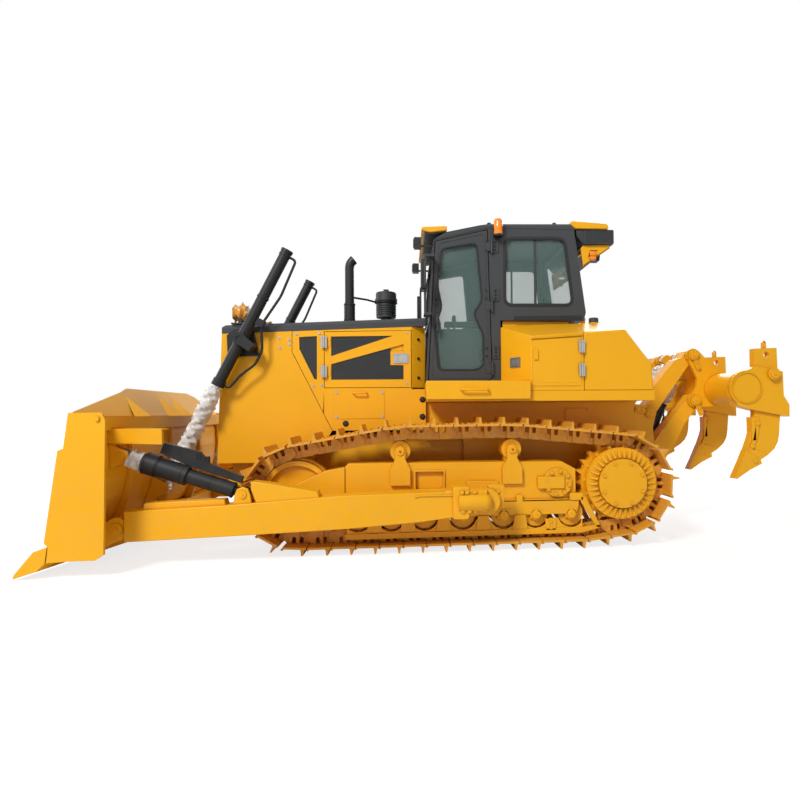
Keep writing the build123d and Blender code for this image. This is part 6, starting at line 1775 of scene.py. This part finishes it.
bm = bmesh.new()
for y in (-1.000, 0.0, 1.000):
    for side in SIDES:
        pin_cap(bm, -3.304, 1.662, y + side * 0.108, 0.062)
    for side in SIDES:
        near = y + side * 0.040
        # shield and adapter plates on each side of the shank
        plate(bm, [(-3.132, 1.225), (-3.132, 1.140), (-3.106, 1.010), (-3.060, 0.905), (-3.095, 0.893),
                   (-3.150, 1.010), (-3.172, 1.140), (-3.176, 1.225)], *sorted((near, near + side * 0.012)))
        plate(bm, [(-3.060, 0.905), (-3.030, 0.893), (-3.154, 0.822), (-3.185, 0.795), (-3.262, 0.842),
                   (-3.190, 0.880)], *sorted((near, near + side * 0.009)))
        for x, z in ((-3.154, 1.165), (-3.092, 0.935)):
            drum(bm, (x, near + side * 0.012, z), (x, near + side * 0.022, z), 0.022, 24)
        drum(bm, (-3.128, y + side * 0.048, 0.782), (-3.128, y + side * 0.056, 0.782), 0.026, 24)
        drum(bm, (-3.128, y + side * 0.056, 0.782), (-3.128, y + side * 0.059, 0.782), 0.014, 16)
    box(bm, (-3.136, y - 0.052, 0.990), (-3.094, y + 0.052, 1.225))
finished("shank_fittings", bm, YELLOW, "ripper_beam", bevel=0.002, smooth=True)
bm = bmesh.new()
for side in SIDES:
    ring = circle((-3.030, 1.523), 0.160, 56)
    band(bm, ring, inset(ring, 0.010), *span(side, 1.0845, 1.0885))
finished("beam_end_welds", bm, YELLOW, "ripper_beam", smooth=True)

RIP_RUN, RIP_REACH = (RIP_A - RIP_E).normalized(), (RIP_A - RIP_E).length
BARREL_Y, STROKE = 0.180, 0.480
FILM_FROM, FILM_TO = 0.800, RIP_REACH - 0.085       # along the cylinder from its lower pin
for side, hand in HANDS:
    base = RIP_E + Vector((0.0, side * BARREL_Y, 0.0))
    dress("ripper_barrel_" + hand, BLACK)
    start, end = base + RIP_RUN * FILM_FROM, base + RIP_RUN * FILM_TO
    sleeve = finished("ripper_wrap_" + hand, wrap_mesh(start, end, 0.088, 48, 32, 40 + side), FILM,
                      "ripper_rod_" + hand, smooth=True)
    max(1 - STROKE / (FILM_TO - FILM_FROM), 0.04)
    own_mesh(sleeve)
    bm = bmesh.new()
    for along in (0.105, 0.700, 0.772):
        drum(bm, base + RIP_RUN * (along - 0.012), base + RIP_RUN * (along + 0.012), 0.068, 32)
    front = RIP_RUN.cross(Vector((0, 1, 0))) * 0.085
    route = ((0.140, 0.6), (0.190, 1.0), (0.650, 1.0), (0.700, 0.6))        # along the barrel, off its axis
    tube(bm, [base + RIP_RUN * along + front * off for along, off in route], 0.011)
    finished("ripper_lines_" + hand, bm, BLACK, "ripper_barrel_" + hand, bevel=0.002, smooth=True)
print("ripper hardware")

# %% [markdown]
# ## Rear hull
# Two covers on the hull's flanks open on the drive train, and rows of large bolts hold the ripper's
# bracket. Both are small beside the hull, so they are plain plates and hexagons.

# %% Rear hull
bm = bmesh.new()
for side in SIDES:
    y = side * 0.5605
    plate(bm, rounded(oblong(-1.560, 1.120, -1.290, 1.330), 0.02),
          *sorted((y, y + side * 0.010)))
for y in (-0.42, 0.0, 0.42):
    for z in (0.700, 0.950, 1.200):
        drum(bm, (-2.050, y, z), (-2.064, y, z), 0.024, 6)
finished("hull_covers", bm, YELLOW, bevel=0.002)
screws("cover_screws", [((x, side * 0.5705, z), (0.0, float(side), 0.0)) for side in SIDES
                        for x in (-1.540, -1.310) for z in (1.140, 1.310)], 0.011)
print("rear hull")

# %% [markdown]
# ## Floor and world
# A pale floor and an even world keep the yellow readable without harsh shadows. A bright world would wash
# the paint out, so the world is plain white to the camera, in reflections and through refracting glass,
# but lights the machine only dimly. The floor's glow is for the camera alone, and weaker near the machine.

# %% Floor and world
FLOOR_HALF, FLOOR_DROP = 60.0, 0.0005       # half its width, and how far it lies under the shoes
FLOOR_GLOW = 1.3
FILL, BACKDROP = 0.27, 1.0          # the world's strength for light, and as seen
floor_mesh = bpy.data.meshes.new("floor")
corners = [(x * FLOOR_HALF, y * FLOOR_HALF, -FLOOR_DROP) for x, y in oblong(-1, -1, 1, 1)]
floor_mesh.from_pydata(corners, [], [(0, 1, 2, 3)])
floor = bpy.data.objects.new("studio_floor", floor_mesh)
bpy.context.scene.collection.objects.link(floor)
pale = Finish("studio_floor", Roughness=0.9, Specular_IOR_Level=0.1)
pale.shader.inputs["Base Color"].default_value = (0.86, 0.86, 0.85, 1.0)
seen = pale.node("ShaderNodeLightPath", output="Is Camera Ray")
away = pale.node("ShaderNodeVectorMath", {"operation": "LENGTH"}, {0: pale.place}, output="Value")
white = pale.node("ShaderNodeEmission", sockets={"Color": (1.0, 1.0, 1.0, 1.0), "Strength": FLOOR_GLOW})
both = pale.node("ShaderNodeMixShader", sockets={0: seen * (away.ramp(6.0, 20.0) * 0.4 + 0.6)})
pale.tree.links.new(pale.shader.outputs[0], both.socket.node.inputs[1])
pale.tree.links.new(white.socket, both.socket.node.inputs[2])
pale.tree.links.new(both.socket, pale.tree.nodes["Material Output"].inputs["Surface"])
floor_mesh.materials.append(pale.material)

world = bpy.data.worlds.new("studio")
bpy.context.scene.world = world
world.use_nodes = True
sky = world.node_tree
backdrop = sky.nodes["Background"]
paths = sky.nodes.new("ShaderNodeLightPath")
rays = [Wire(sky, paths.outputs[f"Is {kind} Ray"]) for kind in ("Camera", "Glossy", "Transmission")]
level = sky.nodes.new("ShaderNodeMapRange")
level.inputs["To Min"].default_value = FILL
level.inputs["To Max"].default_value = BACKDROP
sky.links.new((rays[0] + rays[1] + rays[2]).clamped().socket, level.inputs["Value"])
sky.links.new(level.outputs[0], backdrop.inputs["Strength"])
backdrop.inputs["Color"].default_value = (1.0, 1.0, 1.0, 1.0)

# %% [markdown]
# ## Lamps
# The key lamp stands high before the machine's left side, and two weaker ones open up the shadows behind
# and in front. They are wide disks, because a small lamp draws hard shadows that a factory hall doesn't
# have.


# %% Lamps
def soft_lamp(name, place, aim, size, power):
    """A large area lamp at a place, facing a point."""
    data = bpy.data.lights.new(name, "AREA")
    data.shape, data.size, data.energy = "DISK", size, power
    lamp = bpy.data.objects.new(name, data)
    bpy.context.scene.collection.objects.link(lamp)
    lamp.location = place
    lamp.rotation_euler = (Vector(aim) - Vector(place)).to_track_quat("-Z", "Y").to_euler()


soft_lamp("key_lamp", (8.5, 13.0, 13.0), (0.0, 0.0, 1.2), 5.0, 2700.0)
soft_lamp("rear_lamp", (-6.0, -9.0, 8.0), (0.0, 0.0, 1.2), 6.0, 700.0)
soft_lamp("front_lamp", (10.0, -4.0, 6.0), (1.0, 0.0, 1.0), 5.0, 150.0)

# %% [markdown]
# ## Camera
# The camera stands about seven metres to the machine's left at chest height and looks slightly to the rear,
# as a visitor would. So near, the far side shows smaller, which a longer lens from afar would flatten. The
# lens is shifted a little, so that the machine fills the view.

# %% Camera
LENS_WIDTHS = 0.758                 # focal length over the width of the view
VIEW_CENTRE = (0.574, 0.4995)       # the optical axis as shares of the view, from its upper left
SENSOR = 36.0
EYE = Vector((0.404, 6.924, 1.298))
YAW, NOD, ROLL = (math.radians(a) for a in (5.03, -1.19, -0.40))
camera_data = bpy.data.cameras.new("camera")
camera_data.sensor_width = SENSOR
camera_data.lens = SENSOR * LENS_WIDTHS
camera_data.shift_x = 0.5 - VIEW_CENTRE[0]
camera_data.shift_y = VIEW_CENTRE[1] - 0.5
camera_data.clip_end = 500.0
camera = bpy.data.objects.new("camera", camera_data)
bpy.context.scene.collection.objects.link(camera)
# rows: to the right, down and forward, level and facing the machine's left side
level_view = Matrix(((-1, 0, 0), (0, 0, -1), (0, -1, 0)))
turn = Matrix(((math.cos(YAW), 0, -math.sin(YAW)), (0, 1, 0), (math.sin(YAW), 0, math.cos(YAW))))
nod = Matrix(((1, 0, 0), (0, math.cos(NOD), -math.sin(NOD)), (0, math.sin(NOD), math.cos(NOD))))
lean = Matrix(((math.cos(ROLL), -math.sin(ROLL), 0), (math.sin(ROLL), math.cos(ROLL), 0), (0, 0, 1)))
right, down, ahead = lean @ nod @ turn @ level_view
camera.matrix_world = Matrix((right, -down, -ahead)).transposed().to_4x4()
camera.location = EYE
bpy.context.scene.camera = camera
bpy.context.scene.view_settings.view_transform = "Standard"
print("camera", round(camera_data.lens, 2), "mm lens")

# %% [markdown]
# ## Last update
# The last cell brings the view layer up to date.

# %% Finish
bpy.context.view_layer.update()
